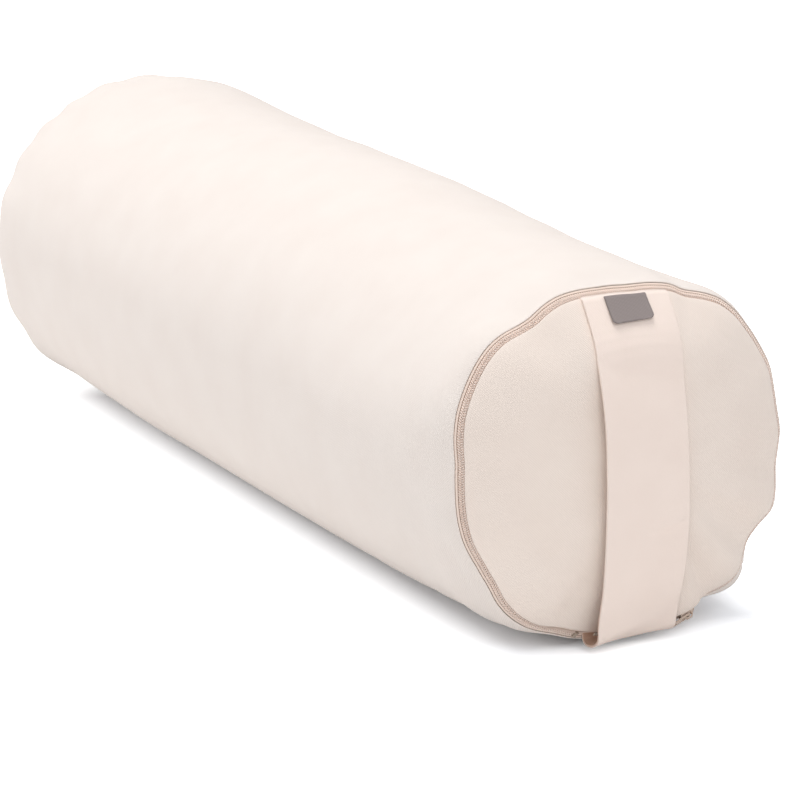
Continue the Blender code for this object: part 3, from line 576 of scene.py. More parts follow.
def make_filling():
    """The pressed kapok inside the inner cushion, one lumpy body."""
    angle = ring_angles(LINER_COLUMNS)
    inset = LINER_CLOTH + FILLING_GAP
    reach = SEAM_X - LINER_END_INSET - inset
    rim = LINER_RIM_RADIUS - inset
    crown = END_RISE - LINER_DEPTH - inset
    rows = []
    # the far dome, from its middle out
    for share in (0.2, 0.45, 0.65, 0.8, 0.9, 0.96):
        out = -LINER_END_INSET + (crown + LINER_END_INSET) * (1 - share ** 2) ** END_ROUNDING
        rows.append(end_points(-1, out, share * rim, angle))
    places = np.concatenate([np.linspace(-reach, -0.2, 12), np.linspace(-0.17, 0.17, 11),
                             np.linspace(0.2, reach, 12)])
    rows += [inner_row(angle, float(x), inset) for x in places]
    face_out, face_radius = LINER_FACE
    start = -LINER_END_INSET - inset
    # the rounded edge of the flat front
    for turn in (22.5, 45.0, 67.5, 90.0):
        inward = 1 - math.cos(math.radians(turn))
        outward = math.sin(math.radians(turn))
        rows.append(end_points(1, lerp(start, face_out, outward),
                               lerp(rim, face_radius - inset, inward), angle))
    rows = np.array(rows)
    middle = np.array(0.0)
    caps = {"first": (end_points(-1, crown, middle, middle), (0, 0)),
            "last": (end_points(1, face_out, middle, middle), (0, 0))}
    uv = np.zeros((len(rows), len(angle) + 1, 2))
    piece = surface("pressed_kapok_filling", rows, uv, cap=caps)
    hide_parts("filling")
    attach(piece, "bolster")
    return piece


# Zip

TAPE_STEPS = 420
TAPE_END_GAP = 8.0          # degrees from the lowest place of the ring to each end of the tapes
TAPE_RADIUS_MM = 92.0       # turns angles into cloth coordinates
# Outline of a tape's cross-section in millimetres: across from the zip's middle, and height
TAPE_OUTLINE = (
    (0.12, 0.8), (0.6, 0.9), (1.5, 0.9), (1.75, 0.7), (2.0, 0.7), (2.25, 0.95), (2.9, 1.0),
    (3.3, 0.9), (3.7, 0.4), (4.4, 0.1), (4.4, -0.4), (3.3, 0.1), (0.6, 0.3), (0.12, 0.3),
)
# The inner tape's far part goes in under the end panel: its drop, and from where to where across
INNER_TAPE_DROP = (0.4, 1.8, 2.6)
COIL_PITCH = 0.00125
COIL_WIRE = 0.00021         # radius of the wire, thinner than a real one so that turns show apart
COIL_RADIUS = 0.0923        # of the coils' ring, for counting their turns
COIL_OVERRUN = 2.9          # degrees that the coils run past the slider's middle, shut and open
COIL_ACROSS = (0.00072, 0.00078)    # middle and half-width of one coil, across the zip
COIL_HEIGHT = (0.00138, 0.00036)    # and in height off it
COIL_STEPS = 8              # points in each turn of the wire
WIRE_SIDES = 5


def make_tapes():
    """Both woven tapes, each a thin strip round the end with a rounded edge beside its coil."""
    angle = np.linspace(math.radians(-90.0 + TAPE_END_GAP), math.radians(270.0 - TAPE_END_GAP),
                        TAPE_STEPS)
    arc = (angle - angle[0]) * TAPE_RADIUS_MM
    pieces = []
    for name, side in (("zip_tape_outer", -1), ("zip_tape_inner", 1)):
        outline = TAPE_OUTLINE
        if side > 0:
            drop, *drop_place = INNER_TAPE_DROP
            outline = [(across, height - drop * float(smooth_step(across, *drop_place)))
                       for across, height in TAPE_OUTLINE[::-1]]
        rows = np.array([band_points(angle, side * across / 1000.0, height / 1000.0)
                         for across, height in outline])
        uv = np.array([np.stack([arc, np.full_like(arc, side * across)], axis=-1)
                       for across, _ in outline])
        piece = strip(name + "_weave", rows.transpose(1, 0, 2)[::-1], uv.transpose(1, 0, 2)[::-1])
        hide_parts(name)
        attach(piece, "bolster")
        pieces.append(piece)
    return pieces


def make_coils():
    """Both rows of coil: one wound wire each, half a turn apart, that interlock down the middle."""
    start = math.radians(CLOSED_ANGLE - COIL_OVERRUN)
    end = math.radians(OPEN_ANGLE + COIL_OVERRUN)
    turns = int((end - start) * COIL_RADIUS / COIL_PITCH)
    index = np.arange(turns * COIL_STEPS + 1)
    turn = 2 * math.pi * (index / COIL_STEPS)
    height = COIL_HEIGHT[0] + COIL_HEIGHT[1] * np.sin(turn)
    pieces = []
    for name, side, offset in (("zip_coil_outer", -1, 0.0), ("zip_coil_inner", 1, 0.5)):
        angle = lerp(start, end, (index / COIL_STEPS + offset) / (turns + 0.5))
        across = side * (COIL_ACROSS[0] + COIL_ACROSS[1] * np.cos(turn))
        path = np.array([band_points(np.array([one_angle]), one_across, one_height)[0]
                         for one_angle, one_across, one_height in zip(angle, across, height)])
        ahead = np.gradient(path, axis=0)
        ahead /= np.linalg.norm(ahead, axis=-1, keepdims=True)
        # straight off the tilted zip
        outward = np.stack([0.7 + 0 * angle, 0.7 * np.cos(angle), 0.7 * np.sin(angle)], axis=-1)
        first = np.cross(ahead, outward)
        first /= np.linalg.norm(first, axis=-1, keepdims=True)
        second = np.cross(first, ahead)
        rows = []
        for corner in range(WIRE_SIDES):
            around_wire = 2 * math.pi * corner / WIRE_SIDES
            rows.append(path + COIL_WIRE * (math.cos(around_wire) * first
                                            + math.sin(around_wire) * second))
        rows = np.array(rows).transpose(1, 0, 2)
        uv = np.zeros(rows.shape[:2] + (2,))
        uv[..., 0] = (index * COIL_PITCH * 1000 / COIL_STEPS)[:, None]
        piece = strip(name + "_wound", rows, uv)
        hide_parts(name)
        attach(piece, "bolster")
        pieces.append(piece)
    return pieces


# Carry strap: its outer face's left and right edge, as places (x, z) from top to bottom

STRAP_LEFT = (
    (0.3101, 0.1851), (0.3197, 0.1763), (0.3292, 0.1645), (0.3369, 0.1465), (0.3426, 0.1244),
    (0.3448, 0.0987), (0.3449, 0.0776), (0.3439, 0.0561), (0.3423, 0.0396), (0.3405, 0.0310),
    (0.3386, 0.0235), (0.3375, 0.0167), (0.3375, 0.0124), (0.3369, 0.0092), (0.3338, 0.0064),
    (0.3292, 0.0044), (0.3239, 0.0039), (0.3203, 0.0053), (0.3192, 0.0085), (0.3191, 0.0123),
    (0.3194, 0.0167),
)
STRAP_RIGHT = (
    (0.3128, 0.1849), (0.3202, 0.1760), (0.3289, 0.1569), (0.3351, 0.1373), (0.3395, 0.1119),
    (0.3413, 0.0911), (0.3416, 0.0698), (0.3394, 0.0476), (0.3354, 0.0314), (0.3326, 0.0240),
    (0.3308, 0.0175), (0.3301, 0.0135), (0.3293, 0.0099), (0.3266, 0.0071), (0.3231, 0.0054),
    (0.3195, 0.0054), (0.3178, 0.0073), (0.3177, 0.0103),
)
STRAP_HALF_WIDTH = 0.025
STRAP_THICKNESS = 0.0015
STRAP_ROWS = 210
STRAP_COLUMNS = np.concatenate([[-1.0, -0.985, -0.95], np.linspace(-0.9, 0.9, 17),
                                [0.95, 0.985, 1.0]])
STRAP_ROOT = (COVERED - 0.0004, 0.0024)     # its sewn top: across the zip, and height off it
STRAP_ROOT_RADIUS = 0.090   # of the ring that it is sewn in along
STRAP_ROOT_LENGTH = 0.020   # of the strap's top that is drawn in to there
OUTSIDE_X = 0.5             # where the rays start that find the end panel
PANEL_GAP = 0.0003          # least gap between the strap and the end panel behind it
PANEL_SLOPE = 0.45          # steepest slope of that panel that widens the gap, as a cosine
LOOP_HEIGHT = 0.020         # the loop below this lies free of the panel
STRAP_FLOOR_GAP = 0.0002    # least gap between the loop and the floor
CREASE_PLACE = (0.1307, 0.014)      # of the crease's middle: length down the strap, and across
CREASE_SLANT = 0.10
CREASE_HEIGHT = 0.0014
CREASE_SPREAD = (0.0070, 0.0017)    # how far it fades out above, and below
CREASE_ENDS = (0.000, 0.012, 0.025, 0.019)      # across: none and full, then none and full again
PAINTED_SHADE_HEIGHTS = (0.060, 0.020)      # brown painted shade on its back starts at this height, and is full at this one


def smooth_path(marks, count):
    """Even points on a smooth curve through places (x, z)."""
    marks = np.array(marks)
    padded = np.concatenate([[2 * marks[0] - marks[1]], marks, [2 * marks[-1] - marks[-2]]])
    fine = []
    for index in range(1, len(padded) - 2):
        before, here, there, beyond = padded[index - 1:index + 3]
        for share in np.linspace(0, 1, 16, endpoint=False):
            fine.append(0.5 * (2 * here + (there - before) * share
                               + (2 * before - 5 * here + 4 * there - beyond) * share ** 2
                               + (3 * here - before - 3 * there + beyond) * share ** 3))
    fine.append(padded[-2])
    fine = np.array(fine)
    lengths = np.append(0, np.cumsum(np.linalg.norm(np.diff(fine, axis=0), axis=1)))
    even = np.linspace(0, lengths[-1], count)
    return np.stack([np.interp(even, lengths, fine[:, axis]) for axis in (0, 1)], axis=-1), even


def strap_grid():
    """Even grid of the strap's outer face between both edges, and each row's length down it."""
    left, down = smooth_path(STRAP_LEFT, STRAP_ROWS)
    right, _ = smooth_path(STRAP_RIGHT, STRAP_ROWS)
    points = np.zeros((len(down), len(STRAP_COLUMNS), 3))
    for index, share in enumerate(STRAP_COLUMNS):
        spot = lerp(left, right, (share + 1) / 2)
        points[:, index, 0] = spot[:, 0] + CENTRING
        points[:, index, 1] = share * STRAP_HALF_WIDTH
        points[:, index, 2] = spot[:, 1]
    return points, down


def sink_top(points, down):
    """Draws the strap's sewn top in under the end panel's rim."""
    rows = np.where(down < STRAP_ROOT_LENGTH)[0]
    sunk = smooth_step(down, STRAP_ROOT_LENGTH, 0.0)[:, None]
    for index, share in enumerate(STRAP_COLUMNS):
        across = share * STRAP_HALF_WIDTH
        place = math.acos(across / STRAP_ROOT_RADIUS)
        rim = band_points(np.array([place]), *STRAP_ROOT)[0]
        root = np.array([rim[0], across, rim[2]])
        last = points[rows[-1], index]
        path = root + (last - root) * (down[rows] / down[rows[-1]])[:, None]
        points[rows, index] = lerp(points[rows, index], path, sunk[rows])


def clear_panel(points, front_panel):
    """Moves the strap outwards wherever the end panel behind it would touch it."""
    tree = BVHTree.FromPolygons([tuple(v.co) for v in front_panel.data.vertices],
                                [tuple(f.vertices) for f in front_panel.data.polygons])
    for row in range(points.shape[0]):
        for index in range(points.shape[1]):
            x, y, z = points[row, index]
            if z < LOOP_HEIGHT:
                continue
            hit, normal, _, _ = tree.ray_cast(Vector((OUTSIDE_X, y, z)), Vector((-1, 0, 0)))
            if hit is None:
                continue
            least = hit.x + (STRAP_THICKNESS + PANEL_GAP) / max(normal.x, PANEL_SLOPE)
            points[row, index, 0] = max(x, least)


def crease(down):
    """How far a soft slanting crease low on the strap lifts it, by row and column."""
    across = STRAP_COLUMNS[None, :] * STRAP_HALF_WIDTH
    below = (down[:, None] - CREASE_PLACE[0]) + CREASE_SLANT * (across - CREASE_PLACE[1])
    above_spread, below_spread = CREASE_SPREAD
    fold = np.exp(-(below / np.where(below > 0, below_spread, above_spread)) ** 2)
    inner_none, inner_full, outer_none, outer_full = CREASE_ENDS
    fold = fold * smooth_step(across, inner_none, inner_full)
    return CREASE_HEIGHT * (fold * smooth_step(across, outer_none, outer_full))


def strap_face(front_panel):
    """The strap's outer face: its grid of points, and each row's length down it."""
    points, down = strap_grid()
    sink_top(points, down)
    clear_panel(points, front_panel)
    smoothed = points.copy()
    smoothed[1:-1] = 0.2 * points[:-2] + 0.6 * points[1:-1] + 0.2 * points[2:]
    smoothed[:, :, 0] += crease(down)
    smoothed[:, :, 2] = np.maximum(smoothed[:, :, 2], STRAP_FLOOR_GAP)
    return smoothed, down


def make_strap(face):
    """The flat cotton strap. Its attribute says how much brown painted shade shows on its back."""
    points, down = face
    across_mm = STRAP_COLUMNS[None, :] * (STRAP_HALF_WIDTH * 1000.0)
    uv = np.stack(np.broadcast_arrays(across_mm, -down[:, None] * 1000.0), axis=-1)
    rows, row_uv = sheet_rows(points, uv, STRAP_THICKNESS)
    piece = strip("carry_strap_webbing", rows, row_uv)
    # painted shade: the brown on its back deepens down towards the loop, read in each row from its
    # other edge
    back = rows[:, len(STRAP_COLUMNS):]
    painted_loop_shade = np.zeros(len(piece.data.vertices), dtype=np.float32)
    shown = painted_loop_shade[:rows.shape[0] * rows.shape[1]].reshape(rows.shape[:2])
    shown[:, len(STRAP_COLUMNS):] = smooth_step(back[:, ::-1, 2], *PAINTED_SHADE_HEIGHTS)
    piece.data.attributes.new("painted_loop_shade", "FLOAT", "POINT").data.foreach_set("value", painted_loop_shade)
    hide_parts("carry_strap")
    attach(piece, "bolster")
    return piece


# Side label

LABEL_ROWS = 25
LABEL_COLUMNS = 19
LABEL_HALF_WIDTH = 0.0120
LABEL_LENGTH = 0.0145
LABEL_CORNER = 0.0022       # radius of its free corners
LABEL_THICKNESS = 0.0008
LABEL_HEIGHT = 0.0010       # of its outer face off the strap, where it is sewn in
LABEL_CURL = 0.0009         # how far its free edge lifts beyond that
CORNER_CURL = 0.0006        # and how far its free corners lift beyond the edge
LABEL_OFFSET = 0.001        # of its middle from the strap's, towards -Y
LABEL_DROP = 0.0012         # of its top edge below the strap's end
LABEL_TILT = 0.06           # its free edge hangs lower on the left by this share of its width


def flat_label():
    """The label laid flat: how far down, how far across and how far off the strap, by point."""
    rows = []
    for down in LABEL_LENGTH * np.arange(LABEL_ROWS) / (LABEL_ROWS - 1):
        past = max(down - (LABEL_LENGTH - LABEL_CORNER), 0.0)
        inset = LABEL_CORNER - math.sqrt(max(LABEL_CORNER ** 2 - past ** 2, 0.0))
        fall = down / LABEL_LENGTH
        rows.append([(down, share * (LABEL_HALF_WIDTH - inset),
                      LABEL_HEIGHT + LABEL_CURL * fall ** 2 + CORNER_CURL * share ** 2 * fall)
                     for share in np.linspace(-1, 1, LABEL_COLUMNS)])
    return np.array(rows)


def strap_point(face, normals, travelled, share, height):
    """Point at a height off the strap's outer face, by length down it and share across it."""
    points, down = face
    place = [np.interp(share, STRAP_COLUMNS,
                       [np.interp(travelled, down, line) for line in points[:, :, axis].T])
             for axis in range(3)]
    nearest = np.searchsorted(down, travelled), np.searchsorted(STRAP_COLUMNS, share)
    return np.array(place) + normals[nearest] * height


def make_label(face):
    """Blank woven label with rounded free corners, curling off the strap a little."""
    flat = flat_label()
    normals = -grid_normals(face[0], False)
    points = np.zeros(flat.shape)
    for row in range(flat.shape[0]):
        for column in range(flat.shape[1]):
            down, across, height = flat[row, column]
            tilt = LABEL_TILT * across * down / LABEL_LENGTH
            share = (across - LABEL_OFFSET) / STRAP_HALF_WIDTH
            travelled = down + LABEL_DROP - tilt
            points[row, column] = strap_point(face, normals, travelled, share, height)
    uv = np.stack([flat[..., 1] * 1000, -flat[..., 0] * 1000], axis=-1)
    rows, row_uv = sheet_rows(points, uv, LABEL_THICKNESS)
    piece = strip("side_label_woven", rows, row_uv)
    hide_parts("side_label")
    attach(piece, "label")
    return piece


# Finishes

# Cloth coordinates are in millimetres, so these turn a spacing into a texture's scale
BAND_SPACING = 0.314        # of a wave texture's bands at scale 1, and half that of diagonal ones
DIAGONAL = 1.414            # along an axis, for each millimetre straight across diagonal ribs
THREAD_SPACING = 0.55       # of single threads, as a share of the ribs' spacing
SLUB_MM = 2.857             # length of the thick places in cotton yarn
CLOUD_MM = 28.57            # width of a cloth's slow changes of tone
TAPE_RIBS_MM = (0.7, 0.8)   # from rib to rib, of those that run along a tape and across it
STITCH_LINE = (1.9, 0.32)   # of the tape's stitches: millimetres from the zip's middle, half-width
TAPE_SHADE = 3.5            # from here on the tape is laid in the darker tone, as painted shade under the cloth


def linear(code):
    """Linear colour of an sRGB hex value."""
    parts = [int(code[index:index + 2], 16) / 255 for index in (1, 3, 5)]
    return tuple(part / 12.92 if part <= 0.04045 else ((part + 0.055) / 1.055) ** 2.4
                 for part in parts) + (1.0,)


def add_node(tree, kind, settings=None, inputs=None):
    """One shader node; an input is a value, or an output socket to link from."""
    node = tree.nodes.new(kind)
    for key, value in (settings or {}).items():
        setattr(node, key, value)
    for key, value in (inputs or {}).items():
        if isinstance(value, bpy.types.NodeSocket):
            tree.links.new(value, node.inputs[key])
        else:
            node.inputs[key].default_value = value
    return node


def new_finish(name, roughness, sheen=0.0):
    """An empty finish, with its node tree and its shader."""
    finish = bpy.data.materials.new(name)
    finish.use_nodes = True
    tree = finish.node_tree
    shader = tree.nodes["Principled BSDF"]
    shader.inputs["Roughness"].default_value = roughness
    shader.inputs["Sheen Weight"].default_value = sheen
    return finish, tree, shader


def lay_tones(tree, shader, tones, pattern, relief=None, over=None, full=(0.0, 1.0)):
    """Gives a finish two tones by a pattern, a third one over them, and its relief.

    Full is where in the pattern each of both tones is full, over is the third tone and where it
    lies, and relief is the strength of the bumps, their height and their pattern.
    """
    ramp = add_node(tree, "ShaderNodeValToRGB", {}, {"Fac": pattern})
    for stop, tone, place in zip(ramp.color_ramp.elements, tones, full):
        stop.color = linear(tone)
        stop.position = place
    shown = ramp.outputs["Color"]
    if over:
        tone, where = over
        mixed = add_node(tree, "ShaderNodeMix", {"data_type": "RGBA"}, {"Factor": where})
        tree.links.new(shown, mixed.inputs["A"])
        mixed.inputs["B"].default_value = linear(tone)
        shown = mixed.outputs["Result"]
    tree.links.new(shown, shader.inputs["Base Color"])
    if relief:
        strength, height, bumps = relief
        bump = add_node(tree, "ShaderNodeBump", {},
                        {"Strength": strength, "Distance": height, "Height": bumps})
        tree.links.new(bump.outputs["Normal"], shader.inputs["Normal"])


def twill(name, pale, deep, rib_mm, relief, turn=0.0, back=None):
    """Soft-spun cotton woven in twill: matt, with fine diagonal ribs and a faint uneven tone.

    Rib_mm is from rib to rib, about twice the real 0.4 mm, so that the ribs show. Back is the
    tone of a painted shade on the cloth's back, laid on as far as its shade attribute says.
    """
    finish, tree, shader = new_finish(name, 0.92, 0.12)
    shader.inputs["Sheen Roughness"].default_value = 0.5
    shader.inputs["Specular IOR Level"].default_value = 0.25
    cloth = add_node(tree, "ShaderNodeUVMap", {"uv_map": "Cloth"}).outputs["UV"]
    turned = add_node(tree, "ShaderNodeMapping", {},
                      {"Vector": cloth, "Rotation": (0, 0, math.radians(turn))}).outputs["Vector"]
    ribs = add_node(tree, "ShaderNodeTexWave",
                    {"bands_direction": "DIAGONAL", "wave_profile": "SIN"},
                    {"Vector": turned, "Scale": 2 * BAND_SPACING / rib_mm / DIAGONAL,
                     "Distortion": 0.6, "Detail": 1.0, "Detail Scale": 1.5}).outputs["Fac"]
    threads = add_node(tree, "ShaderNodeTexWave", {"bands_direction": "X"},
                       {"Vector": turned, "Scale": BAND_SPACING / (rib_mm * THREAD_SPACING),
                        "Distortion": 0.4, "Detail": 1.0, "Detail Scale": 1.5}).outputs["Fac"]
    slubs = add_node(tree, "ShaderNodeTexNoise", {},
                     {"Vector": cloth, "Scale": 1 / SLUB_MM, "Detail": 3.0}).outputs["Fac"]
    clouds = add_node(tree, "ShaderNodeTexNoise", {},
                      {"Vector": cloth, "Scale": 1 / CLOUD_MM, "Detail": 2.0}).outputs["Fac"]
    # the ribs lead, the threads and slubs add to their relief, and the clouds to their tone
    weave = add_node(tree, "ShaderNodeMath", {"operation": "MULTIPLY_ADD"},
                     {0: threads, 1: 0.35, 2: ribs}).outputs[0]
    raised = add_node(tree, "ShaderNodeMath", {"operation": "MULTIPLY_ADD"},
                      {0: slubs, 1: 0.6, 2: weave}).outputs[0]
    faint = add_node(tree, "ShaderNodeMath", {"operation": "MULTIPLY"},
                     {0: weave, 1: 0.35}).outputs[0]
    spread = add_node(tree, "ShaderNodeMath", {"operation": "MULTIPLY_ADD"},
                      {0: clouds, 1: 0.5, 2: faint}).outputs[0]
    over = None
    if back:
        # painted shade, where the piece's attribute asks for it
        side = add_node(tree, "ShaderNodeAttribute", {"attribute_name": "painted_loop_shade"})
        over = (back, side.outputs["Fac"])
    lay_tones(tree, shader, (deep, pale), spread, (0.6, relief, raised), over, (0.05, 0.75))
    return finish


def woven_tape(name, pale, deep, stitch_and_shade_tone=None):
    """Polyester yarn in a close flat weave: ribbed both ways, with a slight lustre.

    Its ribs are drawn coarser than the real 0.4 mm, so that they show. The last argument is the
    darker tone of the stitches that hold the coil down, also laid on the tape's edge as painted
    shade.
    """
    finish, tree, shader = new_finish(name, 0.7, 0.1)
    cloth = add_node(tree, "ShaderNodeUVMap", {"uv_map": "Cloth"}).outputs["UV"]
    along = add_node(tree, "ShaderNodeTexWave", {"bands_direction": "Y"},
                     {"Vector": cloth, "Scale": BAND_SPACING / TAPE_RIBS_MM[0],
                      "Distortion": 0.3}).outputs["Fac"]
    across = add_node(tree, "ShaderNodeTexWave", {"bands_direction": "X"},
                      {"Vector": cloth, "Scale": BAND_SPACING / TAPE_RIBS_MM[1],
                       "Distortion": 0.5}).outputs["Fac"]
    weave = add_node(tree, "ShaderNodeMath", {"operation": "MULTIPLY"},
                     {0: along, 1: across}).outputs[0]
    over = None
    if stitch_and_shade_tone:
        line, half_width = STITCH_LINE
        place = add_node(tree, "ShaderNodeSeparateXYZ", {}, {"Vector": cloth}).outputs["Y"]
        beside = add_node(tree, "ShaderNodeMath", {"operation": "ABSOLUTE"}, {0: place})
        near = add_node(tree, "ShaderNodeMath", {"operation": "SUBTRACT"},
                        {0: beside.outputs[0], 1: line})
        apart = add_node(tree, "ShaderNodeMath", {"operation": "ABSOLUTE"}, {0: near.outputs[0]})
        stitched = add_node(tree, "ShaderNodeMath", {"operation": "LESS_THAN"},
                            {0: apart.outputs[0], 1: half_width})
        # painted shade: the tape's edge, where it goes in under the cloth, takes the darker tone
        shaded = add_node(tree, "ShaderNodeMath", {"operation": "GREATER_THAN"},
                          {0: beside.outputs[0], 1: TAPE_SHADE})
        either = add_node(tree, "ShaderNodeMath", {"operation": "MAXIMUM"},
                          {0: stitched.outputs[0], 1: shaded.outputs[0]})
        over = (stitch_and_shade_tone, either.outputs[0])
    lay_tones(tree, shader, (deep, pale), weave, (0.6, 0.0001, weave), over)
    return finish


def uneven(name, tones, roughness, patch_mm, detail=2.0, relief=None, sheen=0.0, metallic=0.0):
    """A finish whose tones, and whose relief, follow patches in the object's own space.

    Relief is the strength of the bumps and their height.
    """
    finish, tree, shader = new_finish(name, roughness, sheen)
    shader.inputs["Metallic"].default_value = metallic
    place = add_node(tree, "ShaderNodeTexCoord").outputs["Object"]
    patches = add_node(tree, "ShaderNodeTexNoise", {},
                       {"Vector": place, "Scale": 1000.0 / patch_mm,
                        "Detail": detail}).outputs["Fac"]
    lay_tones(tree, shader, tones, patches, (*relief, patches) if relief else None)
    return finish


def nylon(name, pale, deep):
    """Drawn nylon wire, wound and heat-set: a soft gloss, and a tone that drifts every 8 mm."""
    return uneven(name, (deep, pale), 0.42, patch_mm=8.333)


def lacquered(name, pale, worn, roughness, metallic):
    """Metal under a baked lacquer: an even satin skin with a faint ripple, about 1 mm wide."""
    return uneven(name, (worn, pale), roughness, patch_mm=1.111, relief=(0.2, 0.00005),
                  metallic=metallic)


def kapok(name, pale, deep):
    """Kapok fibre, pressed: silky, matt tufts of about 6 mm."""
    return uneven(name, (deep, pale), 1.0, patch_mm=5.556, detail=6.0, relief=(0.8, 0.002),
                  sheen=0.3)


def plain_weave(name, pale, deep):
    """Thin plain-woven cotton, unbleached: matt and slightly slubby.

    Its 0.3 mm threads are too fine to show, so the slubs are drawn, of about 1.4 mm.
    """
    return uneven(name, (deep, pale), 0.9, patch_mm=1.4286, relief=(0.4, 0.0002), sheen=0.1)


def dress(piece, finish):
    """Gives a piece one finish all over."""
    piece.data.materials.clear()
    piece.data.materials.append(finish)


# Studio

# The room's even light: its linear colour, a little cool, and its strength
AMBIENT = ((0.97, 0.98, 1.015, 1), 0.545)
FLOOR_SIZE = 12.0
# A rounded box round the bolster, beyond which the paper glows to plain white, a painted light
# that cuts its real shadow short: its middle, half its size, and the width over which it glows
SHADOW_MIDDLE = (0.021, 0.013, 0.0)
SHADOW_HALF = (0.278, 0.065, 0.0)
SHADOW_FADE = 0.056
PAPER_SEEN = (1.30, 1.355, 1.41, 1)     # over 1, so that only the shadow shows on it
PAPER_LIT = (0.92, 0.92, 0.92, 1)       # the paper as it lights the bolster
# Each lamp's place, the place that it faces, its size and its power
LAMPS = {
    "overhead_softbox": ((0.0, -0.15, 2.15), (0.0, 0.0, 0.1), (1.0, 0.8), 20.4),
    "front_fill": ((2.2, -0.4, 1.7), (0.1, 0.0, 0.1), (1.4, 1.2), 12.9),
    "left_fill": ((-1.6, -1.3, 0.7), (-0.1, 0.0, 0.1), (1.4, 0.8), 10.9),
}
# The camera, fitted to the photograph's outline, zip seam and strap
CAMERA_AZIMUTH = 63.25      # from -Y towards +X
CAMERA_ELEVATION = 15.35
CAMERA_PLACE = (2.05575 + CENTRING, -1.0053, 0.6811)
SENSOR_WIDTH = 36.0         # in millimetres, as the focal length
FOCAL_LENGTH = 182.94


def add_soft_lamp(name, place, target, size, power):
    """A rectangular soft lamp that faces a place."""
    lamp = bpy.data.lights.new(name, "AREA")
    lamp.shape = "RECTANGLE"
    lamp.size, lamp.size_y = size
    lamp.energy = power
    holder = bpy.data.objects.new(name, lamp)
    bpy.context.scene.collection.objects.link(holder)
    holder.location = place
    holder.rotation_euler = (Vector(target) - Vector(place)).to_track_quat("-Z", "Y").to_euler()
    return holder


def build_world():
    """Even light from all round, and white wherever the camera or a mirror sees the room."""
    world = bpy.data.worlds.new("studio")
    bpy.context.scene.world = world
    world.use_nodes = True
    tree = world.node_tree
    tree.nodes.clear()
    path = add_node(tree, "ShaderNodeLightPath")
    colour, strength = AMBIENT
    ambient = add_node(tree, "ShaderNodeBackground", {}, {"Color": colour, "Strength": strength})
    backdrop = add_node(tree, "ShaderNodeBackground", {}, {"Color": (1, 1, 1, 1), "Strength": 1.0})
    mirrored = add_node(tree, "ShaderNodeMath", {"operation": "MAXIMUM"},
                        {0: path.outputs["Is Glossy Ray"], 1: path.outputs["Is Transmission Ray"]})
    seen = add_node(tree, "ShaderNodeMath", {"operation": "MAXIMUM"},
                    {0: path.outputs["Is Camera Ray"], 1: mirrored.outputs[0]})
    choice = add_node(tree, "ShaderNodeMixShader", {}, {0: seen.outputs[0],
                                                       1: ambient.outputs[0],
                                                       2: backdrop.outputs[0]})
    add_node(tree, "ShaderNodeOutputWorld", {}, {"Surface": choice.outputs[0]})


def build_floor():
    """White paper whose real shadow a painted glow cuts short beyond a box round the bolster."""
    bpy.ops.mesh.primitive_plane_add(size=FLOOR_SIZE, location=(0, 0, 0))
    floor = bpy.context.active_object
    floor.name = "studio_floor"
    paper = bpy.data.materials.new("studio_paper")
    paper.use_nodes = True
    tree = paper.node_tree
    tree.nodes.clear()
    path = add_node(tree, "ShaderNodeLightPath")
    lit = add_node(tree, "ShaderNodeBsdfDiffuse", {}, {"Color": PAPER_LIT})
    place = add_node(tree, "ShaderNodeTexCoord").outputs["Object"]
    offset = add_node(tree, "ShaderNodeVectorMath", {"operation": "SUBTRACT"},
                      {0: place, 1: SHADOW_MIDDLE})
    reach = add_node(tree, "ShaderNodeVectorMath", {"operation": "ABSOLUTE"},
                     {0: offset.outputs["Vector"]})
    beyond = add_node(tree, "ShaderNodeVectorMath", {"operation": "SUBTRACT"},
                      {0: reach.outputs["Vector"], 1: SHADOW_HALF})
    outside = add_node(tree, "ShaderNodeVectorMath", {"operation": "MAXIMUM"},
                       {0: beyond.outputs["Vector"], 1: (0.0, 0.0, 0.0)})
    away = add_node(tree, "ShaderNodeVectorMath", {"operation": "LENGTH"},
                    {0: outside.outputs["Vector"]})
    far = add_node(tree, "ShaderNodeMapRange", {"clamp": True},
                   {"Value": away.outputs["Value"], "From Min": 0.0, "From Max": SHADOW_FADE,
                    "To Min": 0.0, "To Max": 1.0})
    bright = add_node(tree, "ShaderNodeBsdfDiffuse", {}, {"Color": PAPER_SEEN})
    # painted light: the paper glows the more, the farther it lies beyond the box, up to plain white
    glow = add_node(tree, "ShaderNodeEmission", {}, {"Color": (1, 1, 1, 1),
                                                     "Strength": far.outputs["Result"]})
    shown = add_node(tree, "ShaderNodeAddShader", {}, {0: bright.outputs[0], 1: glow.outputs[0]})
    choice = add_node(tree, "ShaderNodeMixShader", {}, {0: path.outputs["Is Camera Ray"],
                                                       1: lit.outputs[0], 2: shown.outputs[0]})
    add_node(tree, "ShaderNodeOutputMaterial", {}, {"Surface": choice.outputs[0]})
    floor.data.materials.append(paper)


def build_camera():
    """The photograph's viewpoint."""
    azimuth = math.radians(CAMERA_AZIMUTH)
    elevation = math.radians(CAMERA_ELEVATION)
    back = Vector((math.sin(azimuth) * math.cos(elevation),
                   -math.cos(azimuth) * math.cos(elevation), math.sin(elevation)))
    right = Vector((math.cos(azimuth), math.sin(azimuth), 0.0))
    up = back.cross(right)
    lens = bpy.data.cameras.new("camera")
    lens.sensor_width = SENSOR_WIDTH
    lens.lens = FOCAL_LENGTH
    lens.clip_end = 30.0
    holder = bpy.data.objects.new("camera", lens)
    bpy.context.scene.collection.objects.link(holder)
    turned = Matrix((right, up, back)).transposed().to_4x4()
    holder.matrix_world = Matrix.Translation(CAMERA_PLACE) @ turned
    bpy.context.scene.camera = holder


